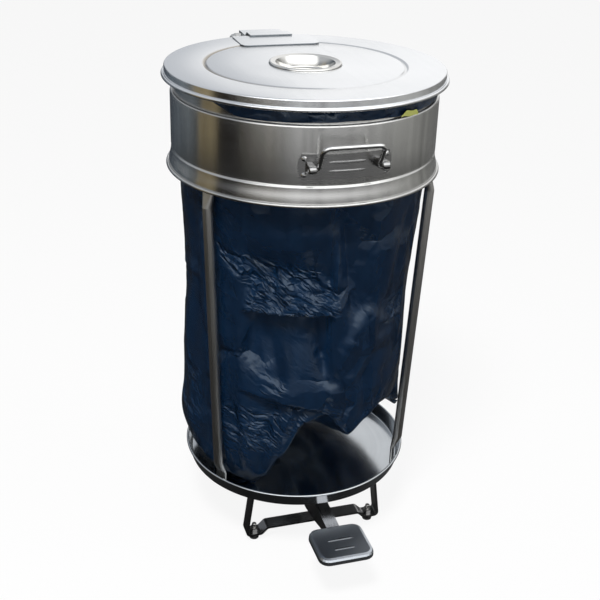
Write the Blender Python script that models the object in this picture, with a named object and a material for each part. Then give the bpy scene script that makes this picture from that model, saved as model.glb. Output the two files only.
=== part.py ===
"""Waste sack holder with a pedal.

A refuse sack hangs inside a short steel drum, with its edge turned over the drum's neck.
Three tubes carry the drum above a round tray on two strip stands. Pressing the pedal tilts
a lever under the tray. The lever raises a rod behind the drum, which swings the lid open.

Sizes are in millimetres. They are measured from the floor and from the drum's axis, with
the front towards -Y. Every shape is turned into metres when it becomes an object.
"""

from math import acos, cos, degrees, exp, hypot, pi, radians, sin, sqrt, tan

import bmesh
import bpy
from mathutils import Vector

# Units and gaps
MM = 0.001                  # one millimetre in metres
SEAT = 0.3                  # gap kept between pieces that touch
RUN = 0.5                   # gap beside pieces that turn or slide
MERGE = 1e-7                # points closer than this, in metres, become one
SHARP = radians(35)         # edges steeper than this stay sharp
QUARTER = 90.0              # a quarter turn in degrees
ROUND = 56                  # sides of the large round pieces
SMALL = 12                  # sides of bolts, pins and nuts

# Rubber feet and their bolts
FOOT_HEIGHT = 10.0
FOOT_TOP_RADIUS = 9.8
FOOT_BASE_RADIUS = 8.2
FOOT_SOLE = 2.5             # rubber left under the bolt
BOLT_RADIUS = 4.0
BOLT_RISE = 14.5            # height of the bolt's end above the strip
NUT_HEIGHT = 6.5
NUT_RADIUS = 7.4            # to its corners

# Strip stands
STRIP_WIDTH = 25.0
STRIP_THICK = 4.0
STRIP_BEND = 6.0            # radius in the middle of the strip
STAND_HEIGHT = 90.4         # from the feet to the tray
STAND_REACH = 116.0         # from the axis to the middle of the strip
FOOT_REACH = 104.5          # from the middle to each foot bolt
LEG_BEYOND = 15.5           # from the foot bolt to the leg, at its foot
LEG_LEAN = 11.0             # how far each leg leans in
LEG_FLANGE = 20.0           # length of the flange under the tray
BAR_RISE = 11.0             # height of the crossbar above the foot strip

# Tray
TRAY_RADIUS = 187.0
TRAY_FLARE = 3.6
TRAY_HEIGHT = 25.0
TRAY_SHEET = 1.2
TRAY_ROLL = 2.3
TRAY_CORNER = 4.0

# Upright tubes
TUBE_RADIUS = 8.0
TUBE_WALL = 1.2
TUBE_FLAT = 6.0             # thickness of the flattened ends
TUBE_BEARING = 60.0         # degrees from the front to the two front tubes
TUBE_TAPER = 22.0           # length over which a tube flattens
FLAT_TOP = 28.0             # length of the flat top
FLAT_FOOT = 26.0            # length of the flat foot
TUBE_SIDES = 16

# Drum
DRUM_LIFT = 537.3           # from the tray's underside to the drum's lower rim
DRUM_RADIUS = 209.0
DRUM_SHEET = 1.0
DRUM_ROLL = 2.7
DRUM_FLARE = 3.6
DRUM_FLARE_HEIGHT = 18.0
GROOVE_HEIGHT = 31.7        # above the lower rim
GROOVE_WIDTH = 8.0
GROOVE_DEPTH = 3.0
SHOULDER_HEIGHT = 119.7     # above the lower rim
SHOULDER_ROUND = 4.0
NECK_STEP = 6.0             # neck inside the drum's wall
NECK_HEIGHT = 35.2

# Sack
SACK_FILM = 1.2             # wall of the solid that stands for the thin film
SACK_EASE = 2.0             # least gap from the hanging sack to the tubes
SACK_SLACK = 0.5            # gap from the sack to the drum's neck
SACK_LEDGE = 0.8            # gap from the turned-over edge to the drum's shoulder
SACK_SIDES = 36
SACK_WAIST = 6.0            # how far the sack is drawn in at half height
SACK_SWELL = 18.0           # how far its side swells out above the lower corner
SACK_DROOP = 12.0           # how far the lower corner swells beyond that side
SACK_SWELL_BEARING = -107.0  # side that swells, in degrees from the front
SACK_SWELL_WIDTH = 26.0     # width of the swelling, in degrees
SACK_HANG = 150.0           # height over which the sack hangs slack above the tray
SACK_RISE = 160.0           # highest place of the lower fold above the tray's floor
SACK_INSET = 37.0           # most that the lower fold lies inside the tray's wall
SACK_DRAW = 110.0           # height over which the side is drawn in to the fold
SACK_CURVE = 2.6            # how late the side is drawn in
SACK_LEAN = 1.8             # slope of the side where it swells over the tray's rim
SACK_FOOT = (               # bearing, share of the rise and share of the inset of the fold
    (-180.0, 0.125, 1.0), (-140.0, 0.06, 0.62), (-105.0, 0.03, 0.10), (-75.0, 0.03, 0.35),
    (-46.0, 0.02, 0.92), (-36.0, 0.225, 0.73), (-25.0, 0.58, 0.57), (-12.0, 1.0, 0.35),
    (0.0, 1.0, 0.35), (14.0, 0.69, 0.40), (26.0, 0.81, 0.40), (38.0, 0.90, 0.40),
    (62.0, 0.84, 0.43), (76.0, 0.60, 0.06), (92.0, 0.70, 0.35), (112.0, 0.59, 0.51),
    (145.0, 0.30, 0.73), (180.0, 0.125, 1.0))
SACK_BASE_SHIFT = 30.0      # sideways place of the middle of the sack's bottom
SACK_BASE_BACK = 15.0       # backward place of that middle
SACK_BASE_RISE = 60.0       # height of that middle above the tray's floor
SACK_BASE_RADIUS = 45.0
CREASE_DEPTH = 10.0         # upper crease, where the film laps over itself
CREASE_HEIGHT = 343.8       # above the tray's floor
CREASE_LAP = 60.0
CREASE_REACH = (-52.0, -1.0)  # bearings of its ends
HEM_DEPTH = 16.0            # lower crease, over the corner that lies on the tray
HEM_HEIGHT = 196.8
HEM_LAP = 60.0
HEM_REACH = (-44.0, -6.0)
HEM_FALL = 24.7             # how far it falls from end to end
CREASE_FADE = 12.0          # degrees over which a crease fades out
CREASE_TURN = 6.0           # height of the turn under a crease
CREASE_SINK = 0.7           # share of its depth that the film above is drawn in
CREASE_STAND = 0.5          # share of its depth that the crease stands out
CREASE_SPAN = 2.6           # laps above a crease where the film hangs plain again

# Lid
LID_OVER = 6.7              # lid's top beyond the drum's wall
LID_SHEET = 1.0
LID_HEIGHT = 17.0
LID_ROLL = 2.7
LID_FLARE = 1.9
LID_CORNER = 3.0
LID_GROOVE_INSET = 60.7     # from the lid's edge to the groove round it
LID_GROOVE_WIDTH = 6.0
LID_GROOVE_DEPTH = 1.0

# Grip cup in the lid
CUP_RADIUS = 57.0           # outside of the lip
CUP_MOUTH = 46.5            # edge of the sloping band
CUP_FLOOR_RADIUS = 42.0
CUP_DEPTH = 17.0            # below the lid's top
CUP_LIP = 4.0               # height of the lip above the lid
CUP_LIP_TURN = 110.0        # degrees that the lip's round edge turns
CUP_SHEET = 1.2
CUP_HOLE_GAP = 3.0          # from the cup's wall to the edge of the hole in the lid

# Lid plate and hinge
PLATE_REACH = 85.7          # from the lid's edge to the plate's front edge
PLATE_HALF = 67.0
PLATE_THICK = 1.3
PLATE_CORNER = 9.0
STRAP_LAP = 19.7            # strap's overlap on the lid
STRAP_HALF = 36.5
STRAP_THICK = 2.0
STRAP_DROP = 7.4            # step down behind the lid
STRAP_FLANGE = 17.7         # depth of the side flanges
STRAP_TAIL = 13.0           # strap beyond the hinge bolt
HINGE_BEHIND = 42.0         # from the lid's rolled edge to the hinge bolt
HINGE_BELOW = 13.0          # hinge bolt below the lid's top
HINGE_RADIUS = 4.0
HINGE_HEAD = 6.5
HINGE_HEAD_LENGTH = 5.0
DOME_LENGTH = 19.0
DOME_WALL = 4.5             # length of the dome's closed end

# Hinge bracket on the drum
BRACKET_SHEET = 2.5
BRACKET_EYE = 7.5           # radius of the cheeks round the bolt
BRACKET_EYE_TURN = 120.0    # degrees that the cheeks go round the bolt
BRACKET_BASE = 8.0          # bracket's top edge at the drum, below the shoulder
BRACKET_DEPTH = 50.0        # height of the bracket on the drum

# Lift rod and its pins
ROD_RADIUS = 5.0
ROD_PIN_RADIUS = 2.5
ROD_PIN_LENGTH = 23.0
ROD_END = 6.0               # rod beyond each pin
LIFT_ARM = 27.0             # from the hinge bolt to the upper pin
LID_SWING = 75.0            # opening angle of the lid in degrees
LUG_SHEET = 2.5
LUG_GAP = 1.0               # between the rod and the lug's cheeks
SLOT_PLAY = 1.3             # room beside the pin in the lug's slot
LUG_MARGIN = 5.0            # metal left round the slot
PIN_PLAY = 0.9              # room round the lower pin in the lever

# Pedal lever
LEVER_HALF = 11.0
LEVER_SHEET = 2.0
LEVER_PIVOT = 62.0          # height of the lever's pin above the floor
LEVER_CROWN = 86.0          # top of the lever near its pin, above the floor
LEVER_DEPTH = 46.0          # depth of the lever at its pin
LEVER_NECK = 222.0          # from the axis to where the lever meets the pad
LEVER_NECK_TOP = 82.5
LEVER_NECK_DEPTH = 16.0
LEVER_LAP = 57.0            # lever under the pad
LEVER_TIP_DEPTH = 8.0
LEVER_STEP = 168.0          # from the axis to where the lever starts to narrow
LEVER_STEP_DEPTH = 34.0
LEVER_END_DEPTH = 18.0      # depth at the rod
LEVER_END = 11.0            # lever beyond the rod's pin
FORK_GAP = 6.0              # open top of the lever in front of the rod
PIVOT_PIN_RADIUS = 4.0
PIVOT_PIN_OVER = 3.0        # pin beyond the bracket's cheeks
PIVOT_CHEEK = 9.0           # bracket below and beside its pin
PIVOT_LENGTH = 26.0
PIVOT_SHEET = 2.0

# Pedal pad
PAD_BACK = 225.0            # from the axis to the pad's rear edge
PAD_LENGTH = 84.0
PAD_HALF = 46.0
PAD_SKIRT = 10.5
PAD_SHEET = 1.7
PAD_CORNER = 17.0
PAD_CROWN = 6.0             # width of the rounded edge
PAD_RIDGE_HALF = 21.0
PAD_RIDGE_FIRST = 37.0      # from the pad's rear edge
PAD_RIDGE_SPACE = 23.0
PAD_RIDGE_WIDTH = 4.0
PAD_RIDGE_RISE = 1.4

# Handle on the drum
HANDLE_DROP = 59.0          # handle's middle below the shoulder
HANDLE_HALF = 72.0
HANDLE_HEIGHT = 37.0
HANDLE_SHEET = 2.0
HANDLE_BULGE = 6.0          # how far its ends are rounded out
RIB_HALF = 27.0
RIB_SPREAD = 6.5            # from the plate's middle to each rib
RIB_RADIUS = 2.6
RIVET_INSET = 9.3           # from the end of the handle plate
RIVET_SPREAD = 12.0
RIVET_RADIUS = 4.0
RIVET_RISE = 2.2
RIVET_SHANK = 2.0
RIVET_TAIL = 1.5
BAIL_WIRE = 3.5
BAIL_HALF = 45.0
BAIL_LENGTH = 41.0
BAIL_BEND = 9.0
BAIL_OFFSET = 9.0           # bail's pivot in front of the drum
BAIL_RISE = 61.0            # degrees above level
EYE_LENGTH = 11.0
EYE_WALL = 2.8

# Places that follow from the sizes
strip_base = FOOT_HEIGHT + SEAT
strip_top = strip_base + STRIP_THICK
leg_base = FOOT_REACH + LEG_BEYOND
tray_base = strip_base + STAND_HEIGHT + SEAT
tray_floor = tray_base + TRAY_SHEET
tray_rim = tray_base + TRAY_HEIGHT
drum_base = tray_base + DRUM_LIFT
drum_flat = (DRUM_RADIUS - DRUM_SHEET) * cos(pi / ROUND)
groove_level = drum_base + GROOVE_HEIGHT
shoulder = drum_base + SHOULDER_HEIGHT
neck_top = shoulder + NECK_HEIGHT
neck_radius = DRUM_RADIUS - NECK_STEP
neck_bore = neck_radius - DRUM_SHEET
lid_under = neck_top + SEAT + SACK_FILM + SEAT
lid_top = lid_under + LID_SHEET
lid_radius = DRUM_RADIUS + LID_OVER
lid_edge = lid_radius + LID_FLARE - LID_SHEET + 2 * LID_ROLL
lid_groove_radius = lid_radius - LID_GROOVE_INSET
hinge_level = lid_top - HINGE_BELOW
hinge_reach = lid_edge + HINGE_BEHIND
rod_stroke = 2 * LIFT_ARM * sin(radians(LID_SWING / 2))
rod_reach = hinge_reach - LIFT_ARM * cos(radians(LID_SWING / 2))
pin_top = hinge_level - rod_stroke / 2
pin_base = LEVER_PIVOT - rod_stroke / 2
plate_front = lid_radius - PLATE_REACH
plate_base = lid_top + SEAT
plate_top = plate_base + PLATE_THICK
strap_front = lid_radius - STRAP_LAP
strap_base = plate_top + SEAT
strap_top = strap_base + STRAP_THICK
tail_top = strap_top - STRAP_DROP
tail_under = tail_top - STRAP_THICK
handle_level = shoulder - HANDLE_DROP
handle_radius = DRUM_RADIUS + SEAT
handle_face = handle_radius + HANDLE_SHEET
rivet_angle = degrees((HANDLE_HALF - RIVET_INSET) / handle_face)
bail_reach = DRUM_RADIUS + BAIL_OFFSET
lever_tip = PAD_BACK + LEVER_LAP
pad_under = LEVER_NECK_TOP + SEAT
pad_top = pad_under + PAD_SHEET
pad_front = PAD_BACK + PAD_LENGTH
strap_rear = hinge_reach + STRAP_TAIL
axis_shift = (pad_front - strap_rear) / 2

STEEL = ((0.62, 0.63, 0.64), 0.30, 1.0)
BRIGHT = ((0.70, 0.70, 0.71), 0.22, 1.0)
ZINC = ((0.55, 0.56, 0.57), 0.38, 1.0)
RUBBER = ((0.015, 0.015, 0.016), 0.75, 0.0)
FILM = ((0.012, 0.028, 0.070), 0.33, 0.0)


def clear_scene():
    """Remove every object that the file opened with."""
    for item in list(bpy.data.objects):
        bpy.data.objects.remove(item, do_unlink=True)


def make_finish(name, look):
    """Return a material of its own for one piece."""
    colour, roughness, metallic = look
    finish = bpy.data.materials.new(name + "_finish")
    finish.use_nodes = True
    shader = finish.node_tree.nodes["Principled BSDF"]
    shader.inputs["Base Color"].default_value = (*colour, 1.0)
    shader.inputs["Roughness"].default_value = roughness
    shader.inputs["Metallic"].default_value = metallic
    finish.diffuse_color = (*colour, 1.0)
    return finish


def make_empty(name, place, parent=None):
    """Return an empty at a place given in its parent's frame."""
    empty = bpy.data.objects.new(name, None)
    empty.empty_display_size = 20 * MM
    empty.location = Vector(place) * MM
    empty.parent = parent
    bpy.context.scene.collection.objects.link(empty)
    return empty


def place_object(name, data, parent, place, turn):
    """Link an object for a mesh or a curve and put it in its place."""
    item = bpy.data.objects.new(name, data)
    item.parent = parent
    item.location = Vector(place) * MM
    item.rotation_euler = turn
    bpy.context.scene.collection.objects.link(item)
    return item


def make_mesh(name, shape, base=(0, 0, 0)):
    """Turn a shape in millimetres into a mesh in metres, measured from base."""
    bmesh.ops.translate(shape, verts=shape.verts, vec=-Vector(base))
    bmesh.ops.scale(shape, verts=shape.verts, vec=(MM, MM, MM))
    bmesh.ops.remove_doubles(shape, verts=shape.verts, dist=MERGE)
    bmesh.ops.recalc_face_normals(shape, faces=shape.faces)
    mesh = bpy.data.meshes.new(name)
    shape.to_mesh(mesh)
    shape.free()
    mesh.shade_smooth()
    mesh.set_sharp_from_angle(angle=SHARP)
    return mesh


def add_piece(name, shape, look, parent, base=(0, 0, 0), place=(0, 0, 0), turn=(0, 0, 0)):
    """Add one piece with its own finish."""
    mesh = make_mesh(name, shape, base)
    mesh.materials.append(make_finish(name, look))
    return place_object(name, mesh, parent, place, turn)


def add_copies(names, shape, look, parent, places, turns):
    """Add one object for each name, with one mesh for all of them."""
    mesh = make_mesh(names[0], shape)
    mesh.materials.append(make_finish(names[0], look))
    return [place_object(name, mesh, parent, place, turn)
            for name, place, turn in zip(names, places, turns)]


def add_tool(name, shape, parent, base=(0, 0, 0), place=(0, 0, 0), turn=(0, 0, 0)):
    """Add a hidden shape that a Boolean modifier uses."""
    tool = place_object(name, make_mesh(name, shape, base), parent, place, turn)
    tool.hide_render = True
    tool.display_type = "WIRE"
    return tool


def combine(piece, tool, operation="DIFFERENCE"):
    """Cut a piece with a tool, or join the tool to it."""
    step = piece.modifiers.new(tool.name, "BOOLEAN")
    step.operation = operation
    step.object = tool
    step.solver = "EXACT"


def turned(profile, sides=ROUND, start=0.0):
    """Return a shape made by turning (radius, height) points about the vertical axis."""
    shape = bmesh.new()
    points = [shape.verts.new((r * cos(start), r * sin(start), z)) for r, z in profile]
    closed = profile[0][0] > 0 or profile[-1][0] > 0
    pairs = list(zip(points, points[1:]))
    if closed:
        pairs.append((points[-1], points[0]))
    edges = [shape.edges.new(pair) for pair in pairs]
    bmesh.ops.spin(shape, geom=points + edges, cent=(0, 0, 0), axis=(0, 0, 1),
                   angle=2 * pi, steps=sides, use_merge=True)
    bmesh.ops.remove_doubles(shape, verts=shape.verts, dist=MERGE / MM)
    return shape


def loft(sections, wrap=False):
    """Return a shape that passes through loops of points, capped unless it wraps."""
    shape = bmesh.new()
    loops = [[shape.verts.new(point) for point in section] for section in sections]
    pairs = list(zip(loops, loops[1:]))
    if wrap:
        pairs.append((loops[-1], loops[0]))
    for lower, upper in pairs:
        count = len(lower)
        for i in range(count):
            j = (i + 1) % count
            shape.faces.new((lower[i], lower[j], upper[j], upper[i]))
    if not wrap:
        shape.faces.new(loops[0])
        shape.faces.new(loops[-1])
    return shape


def pipe(outer, inner):
    """Return a shape between outer and inner loops, open at both ends."""
    return loft(outer + inner[::-1], wrap=True)


def prism(outline, axis, low, high):
    """Return a flat outline drawn out along X, Y or Z from low to high."""
    def at(level):
        if axis == "X":
            return [(level, a, b) for a, b in outline]
        if axis == "Y":
            return [(a, level, b) for a, b in outline]
        return [(a, b, level) for a, b in outline]
    return loft([at(low), at(high)])


def circle(radius, sides=SMALL, centre=(0.0, 0.0)):
    """Return points round a circle."""
    return [(centre[0] + radius * cos(2 * pi * i / sides),
             centre[1] + radius * sin(2 * pi * i / sides)) for i in range(sides)]


def hexagon(radius, sides=SMALL):
    """Return points round a hexagon, with a point halfway along each side."""
    flat = radius * cos(pi / 6)
    return [(r * cos(2 * pi * i / sides), r * sin(2 * pi * i / sides))
            for i, r in enumerate([radius, flat] * (sides // 2))]


def box(low, high):
    """Return a box between two corners."""
    outline = [(low[0], low[1]), (high[0], low[1]), (high[0], high[1]), (low[0], high[1])]
    return prism(outline, "Z", low[2], high[2])


def rounded(points, radii, steps=4):
    """Return an open path with each inner corner replaced by an arc of its own radius."""
    path = [points[0]]
    for before, corner, after, radius in zip(points, points[1:], points[2:], radii):
        c = Vector(corner)
        one = (Vector(before) - c).normalized()
        two = (Vector(after) - c).normalized()
        half = acos(max(-1.0, min(1.0, one.dot(two)))) / 2
        reach = radius / tan(half)
        centre = c + (one + two).normalized() * (radius / sin(half))
        first = c + one * reach - centre
        last = c + two * reach - centre
        sweep = pi - 2 * half
        for i in range(steps + 1):
            a = sweep * i / steps
            mix = (first * sin(sweep - a) + last * sin(a)) / sin(sweep)
            path.append(tuple(centre + mix))
    path.append(points[-1])
    return path


def strip_outline(path, thick):
    """Return the outline of a strip of even thickness along a path."""
    ways = [(Vector(b) - Vector(a)).normalized() for a, b in zip(path, path[1:])]
    ways = [ways[0]] + ways + [ways[-1]]
    left = []
    right = []
    for point, before, after in zip(path, ways, ways[1:]):
        middle = (before + after).normalized()
        side = Vector((-middle[1], middle[0]))
        reach = thick / 2 / middle.dot(after)
        left.append(tuple(Vector(point) + side * reach))
        right.append(tuple(Vector(point) - side * reach))
    return left + right[::-1]


def arc(centre, radius, first, last, steps):
    """Return points along an arc given by angles in degrees."""
    return [(centre[0] + radius * cos(radians(first + (last - first) * i / steps)),
             centre[1] + radius * sin(radians(first + (last - first) * i / steps)))
            for i in range(steps + 1)]


def rolled_edge(wall, sheet, roll, middle, up, steps=6):
    """Return the points of a rolled edge, from the wall's outside to its inside."""
    centre = wall - sheet + roll
    start = acos((sheet - roll) / roll)
    side = 1 if up else -1
    points = []
    for i in range(steps + 1):
        a = -start + (pi + start) * i / steps
        points.append((centre + roll * cos(a), middle + side * roll * sin(a)))
    return points


def groove(level, width, depth, radius):
    """Return the points of a groove round a wall, from its top to its bottom."""
    shares = ((1.0, 0.0), (0.5, 0.55), (0.0, 1.0), (-0.5, 0.55), (-1.0, 0.0))
    return [(radius - depth * deep, level + width / 2 * along) for along, deep in shares]


def around(radius, bearing, level):
    """Return a point at a bearing in degrees from the front."""
    return (radius * sin(radians(bearing)), -radius * cos(radians(bearing)), level)


def tube_centre(level):
    """Return the distance from the axis to the middle of a tube at a height."""
    foot = tray_rim + SEAT + TUBE_TAPER
    top = drum_base - TUBE_TAPER - SEAT
    low = TRAY_RADIUS - SEAT
    high = DRUM_RADIUS - DRUM_SHEET - SEAT - 1.5 * DRUM_SHEET
    return low + (high - low) * (level - foot) / (top - foot)


def build_feet(stand):
    """Add the rubber feet, the bolts that hold them and the nuts."""
    rubber = turned([(0, 0), (FOOT_BASE_RADIUS, 0), (FOOT_TOP_RADIUS, FOOT_HEIGHT),
                     (BOLT_RADIUS + SEAT, FOOT_HEIGHT), (BOLT_RADIUS + SEAT, FOOT_SOLE),
                     (0, FOOT_SOLE)], sides=2 * SMALL)
    bolt_base = FOOT_SOLE + SEAT
    bolt_end = strip_top + BOLT_RISE
    chamfer = BOLT_RADIUS / 4
    bolt = turned([(0, bolt_base), (BOLT_RADIUS, bolt_base), (BOLT_RADIUS, bolt_end - chamfer),
                   (BOLT_RADIUS - chamfer, bolt_end), (0, bolt_end)], sides=SMALL)
    nut_base = strip_top + SEAT
    hole = circle(BOLT_RADIUS + SEAT)
    levels = (nut_base, nut_base + NUT_HEIGHT)
    nut = pipe([[(x, y, z) for x, y in hexagon(NUT_RADIUS)] for z in levels],
               [[(x, y, z) for x, y in hole] for z in levels])
    sides = ("front_left", "front_right", "rear_left", "rear_right")
    places = [(x, y, 0) for y in (-STAND_REACH, STAND_REACH) for x in (-FOOT_REACH, FOOT_REACH)]
    still = [(0, 0, 0)] * len(places)
    add_copies(["rubber_foot_" + s for s in sides], rubber, RUBBER, stand, places, still)
    add_copies(["foot_bolt_" + s for s in sides], bolt, ZINC, stand, places, still)
    add_copies(["foot_nut_" + s for s in sides], nut, ZINC, stand, places, still)


def build_stands(stand):
    """Add the two strips that are bent into legs, feet and a raised crossbar."""
    half = STRIP_THICK / 2
    low = strip_base + half
    high = strip_base + STAND_HEIGHT - half
    bar = low + BAR_RISE
    jog = FOOT_REACH - NUT_RADIUS - STRIP_BEND * tan(pi / 8) - RUN
    right = [(leg_base - LEG_LEAN - LEG_FLANGE, high), (leg_base - LEG_LEAN, high),
             (leg_base, low), (jog, low), (jog - BAR_RISE, bar)]
    left = [(-x, z) for x, z in right]
    path = left + right[::-1]
    outline = strip_outline(rounded(path, [STRIP_BEND] * len(path)), STRIP_THICK)
    hole_low = strip_base - STRIP_THICK
    hole_high = strip_top + STRIP_THICK
    for name, middle in (("front_stand", -STAND_REACH), ("rear_stand", STAND_REACH)):
        shape = prism(outline, "Y", -STRIP_WIDTH / 2, STRIP_WIDTH / 2)
        strip = add_piece(name, shape, STEEL, stand, place=(0, middle, 0))
        for side, x in (("left", -FOOT_REACH), ("right", FOOT_REACH)):
            drill = prism(circle(BOLT_RADIUS + SEAT), "Z", hole_low, hole_high)
            combine(strip, add_tool(name + "_hole_" + side, drill, stand, place=(x, middle, 0)))


def build_tray(stand):
    """Add the round tray with its rolled rim."""
    wall = TRAY_RADIUS + TRAY_FLARE
    corner = arc((TRAY_RADIUS - TRAY_CORNER, tray_base + TRAY_CORNER), TRAY_CORNER, -90, 0, 3)
    inside = arc((TRAY_RADIUS - TRAY_CORNER, tray_base + TRAY_CORNER),
                 TRAY_CORNER - TRAY_SHEET, 0, -90, 3)
    rim = rolled_edge(wall, TRAY_SHEET, TRAY_ROLL, tray_rim - TRAY_ROLL, up=True)
    profile = [(0, tray_base)] + corner + rim + inside + [(0, tray_floor)]
    add_piece("tray", turned(profile), STEEL, stand)


def tube_loops(inset):
    """Return the loops of one tube's surface, set in by a wall."""
    flat = TUBE_FLAT / 2
    wide = (pi * TUBE_RADIUS - pi * flat) / 2 + flat
    top = groove_level - GROOVE_WIDTH
    foot = tray_floor + SEAT
    foot_bend = foot + FLAT_FOOT
    top_bend = top - FLAT_TOP
    foot_face = TRAY_RADIUS - TRAY_CORNER - SEAT - flat
    top_face = sqrt((drum_flat - SEAT) ** 2 - wide ** 2) - flat
    low = foot_bend + TUBE_TAPER
    high = top_bend - TUBE_TAPER
    stations = [(foot, foot_face, flat, wide), (foot_bend, foot_face, flat, wide),
                (low, tube_centre(low), TUBE_RADIUS, TUBE_RADIUS),
                (high, tube_centre(high), TUBE_RADIUS, TUBE_RADIUS),
                (top_bend, top_face, flat, wide), (top, top_face, flat, wide)]
    loops = []
    for level, centre, thick, width in stations:
        straight = width - thick
        loop = []
        for i in range(TUBE_SIDES):
            a = 2 * pi * (i + 0.5) / TUBE_SIDES
            shift = straight if cos(a) > 0 else -straight
            across = shift + (thick - inset) * cos(a)
            loop.append((across, -centre - (thick - inset) * sin(a), level))
        loops.append(loop)
    return loops


def build_tubes(stand):
    """Add the three tubes with flattened ends that carry the drum."""
    names = ("upright_left", "upright_right", "upright_rear")
    turns = [(0, 0, radians(a)) for a in (-TUBE_BEARING, TUBE_BEARING, 180)]
    shape = pipe(tube_loops(0), tube_loops(TUBE_WALL))
    add_copies(names, shape, STEEL, stand, [(0, 0, 0)] * len(names), turns)


def drum_side(inset):
    """Return the drum's wall from the neck down to its flare, set in by its sheet."""
    bend = SHOULDER_ROUND
    centre = (DRUM_RADIUS - bend, shoulder - bend)
    points = [(neck_radius - inset, neck_top), (neck_radius - inset, shoulder - inset)]
    points += arc(centre, bend - inset, 80, 0, 3)
    points += groove(groove_level, GROOVE_WIDTH, GROOVE_DEPTH, DRUM_RADIUS - inset)
    points.append((DRUM_RADIUS - inset, drum_base + DRUM_ROLL + DRUM_FLARE_HEIGHT))
    return points


def rivet_places():
    """Return the bearing and height of each handle rivet."""
    return [(angle, handle_level + rise) for angle in (-rivet_angle, rivet_angle)
            for rise in (RIVET_SPREAD, -RIVET_SPREAD)]


def build_drum(stand):
    """Add the drum and the handle on its front."""
    wall = DRUM_RADIUS + DRUM_FLARE
    rim = rolled_edge(wall, DRUM_SHEET, DRUM_ROLL, drum_base + DRUM_ROLL, up=False)
    profile = drum_side(0) + rim + drum_side(DRUM_SHEET)[::-1]
    drum = add_piece("drum", turned(profile), STEEL, stand)
    plate = add_piece("handle_plate", handle_shape(), STEEL, stand)
    for number, rise in enumerate((RIB_SPREAD, -RIB_SPREAD)):
        rib = add_tool("handle_rib_%d" % (number + 1), rib_shape(handle_level + rise), stand)
        combine(plate, rib, "UNION")
    grip = RIVET_SHANK + SEAT
    reach = HANDLE_SHEET + DRUM_SHEET + 4 * RIVET_TAIL
    inner = drum_flat - SEAT - handle_face - SEAT
    rivet = turned([(0, RIVET_RISE), (RIVET_RADIUS * 0.6, RIVET_RISE * 0.8), (RIVET_RADIUS, 0),
                    (RIVET_SHANK, 0), (RIVET_SHANK, inner),
                    (RIVET_RADIUS * 0.8, inner), (RIVET_RADIUS * 0.6, inner - RIVET_TAIL),
                    (0, inner - RIVET_TAIL)], sides=SMALL)
    places = [around(handle_face + SEAT, angle, level) for angle, level in rivet_places()]
    turns = [(pi / 2, 0, radians(angle)) for angle, level in rivet_places()]
    names = ["handle_rivet_%d" % (i + 1) for i in range(len(places))]
    add_copies(names, rivet, BRIGHT, stand, places, turns)
    for number, (angle, level) in enumerate(rivet_places()):
        drill = prism(circle(grip), "Z", -reach, reach)
        hole = add_tool("rivet_hole_%d" % (number + 1), drill, stand,
                        place=around(handle_face, angle, level),
                        turn=(pi / 2, 0, radians(angle)))
        combine(drum, hole)
        combine(plate, hole)


def handle_shape():
    """Return the curved plate with rounded ends."""
    tall = HANDLE_HEIGHT / 2
    bow = (tall ** 2 + HANDLE_BULGE ** 2) / (2 * HANDLE_BULGE)
    straight = HANDLE_HALF - HANDLE_BULGE
    count = 7
    right = [straight * i / count for i in range(1, count + 1)]
    right += [straight + HANDLE_BULGE * share for share in (0.35, 0.7, 0.95)]
    stations = [-x for x in right[::-1]] + [0.0] + right
    loops = []
    for along in stations:
        over = max(0.0, abs(along) - straight)
        rise = tall
        if over > 0:
            rise = sqrt(bow ** 2 - (bow - HANDLE_BULGE + over) ** 2)
        angle = degrees(along / handle_face)
        loops.append([around(r, angle, handle_level + z) for r, z in (
            (handle_radius, -rise), (handle_face, -rise), (handle_face, rise),
            (handle_radius, rise))])
    return loft(loops)


def rib_shape(level):
    """Return one raised rib of the handle plate, sunk a little into it."""
    count = 8
    loops = []
    for i in range(count + 1):
        along = RIB_HALF * (2 * i / count - 1)
        end = 0.45 if i in (0, count) else 1.0
        angle = degrees(along / handle_face)
        bump = arc((handle_face - HANDLE_SHEET / 4, level), RIB_RADIUS * end, -90, 90, 5)
        loops.append([around(r, angle, z) for r, z in bump])
    return loft(loops)


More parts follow.
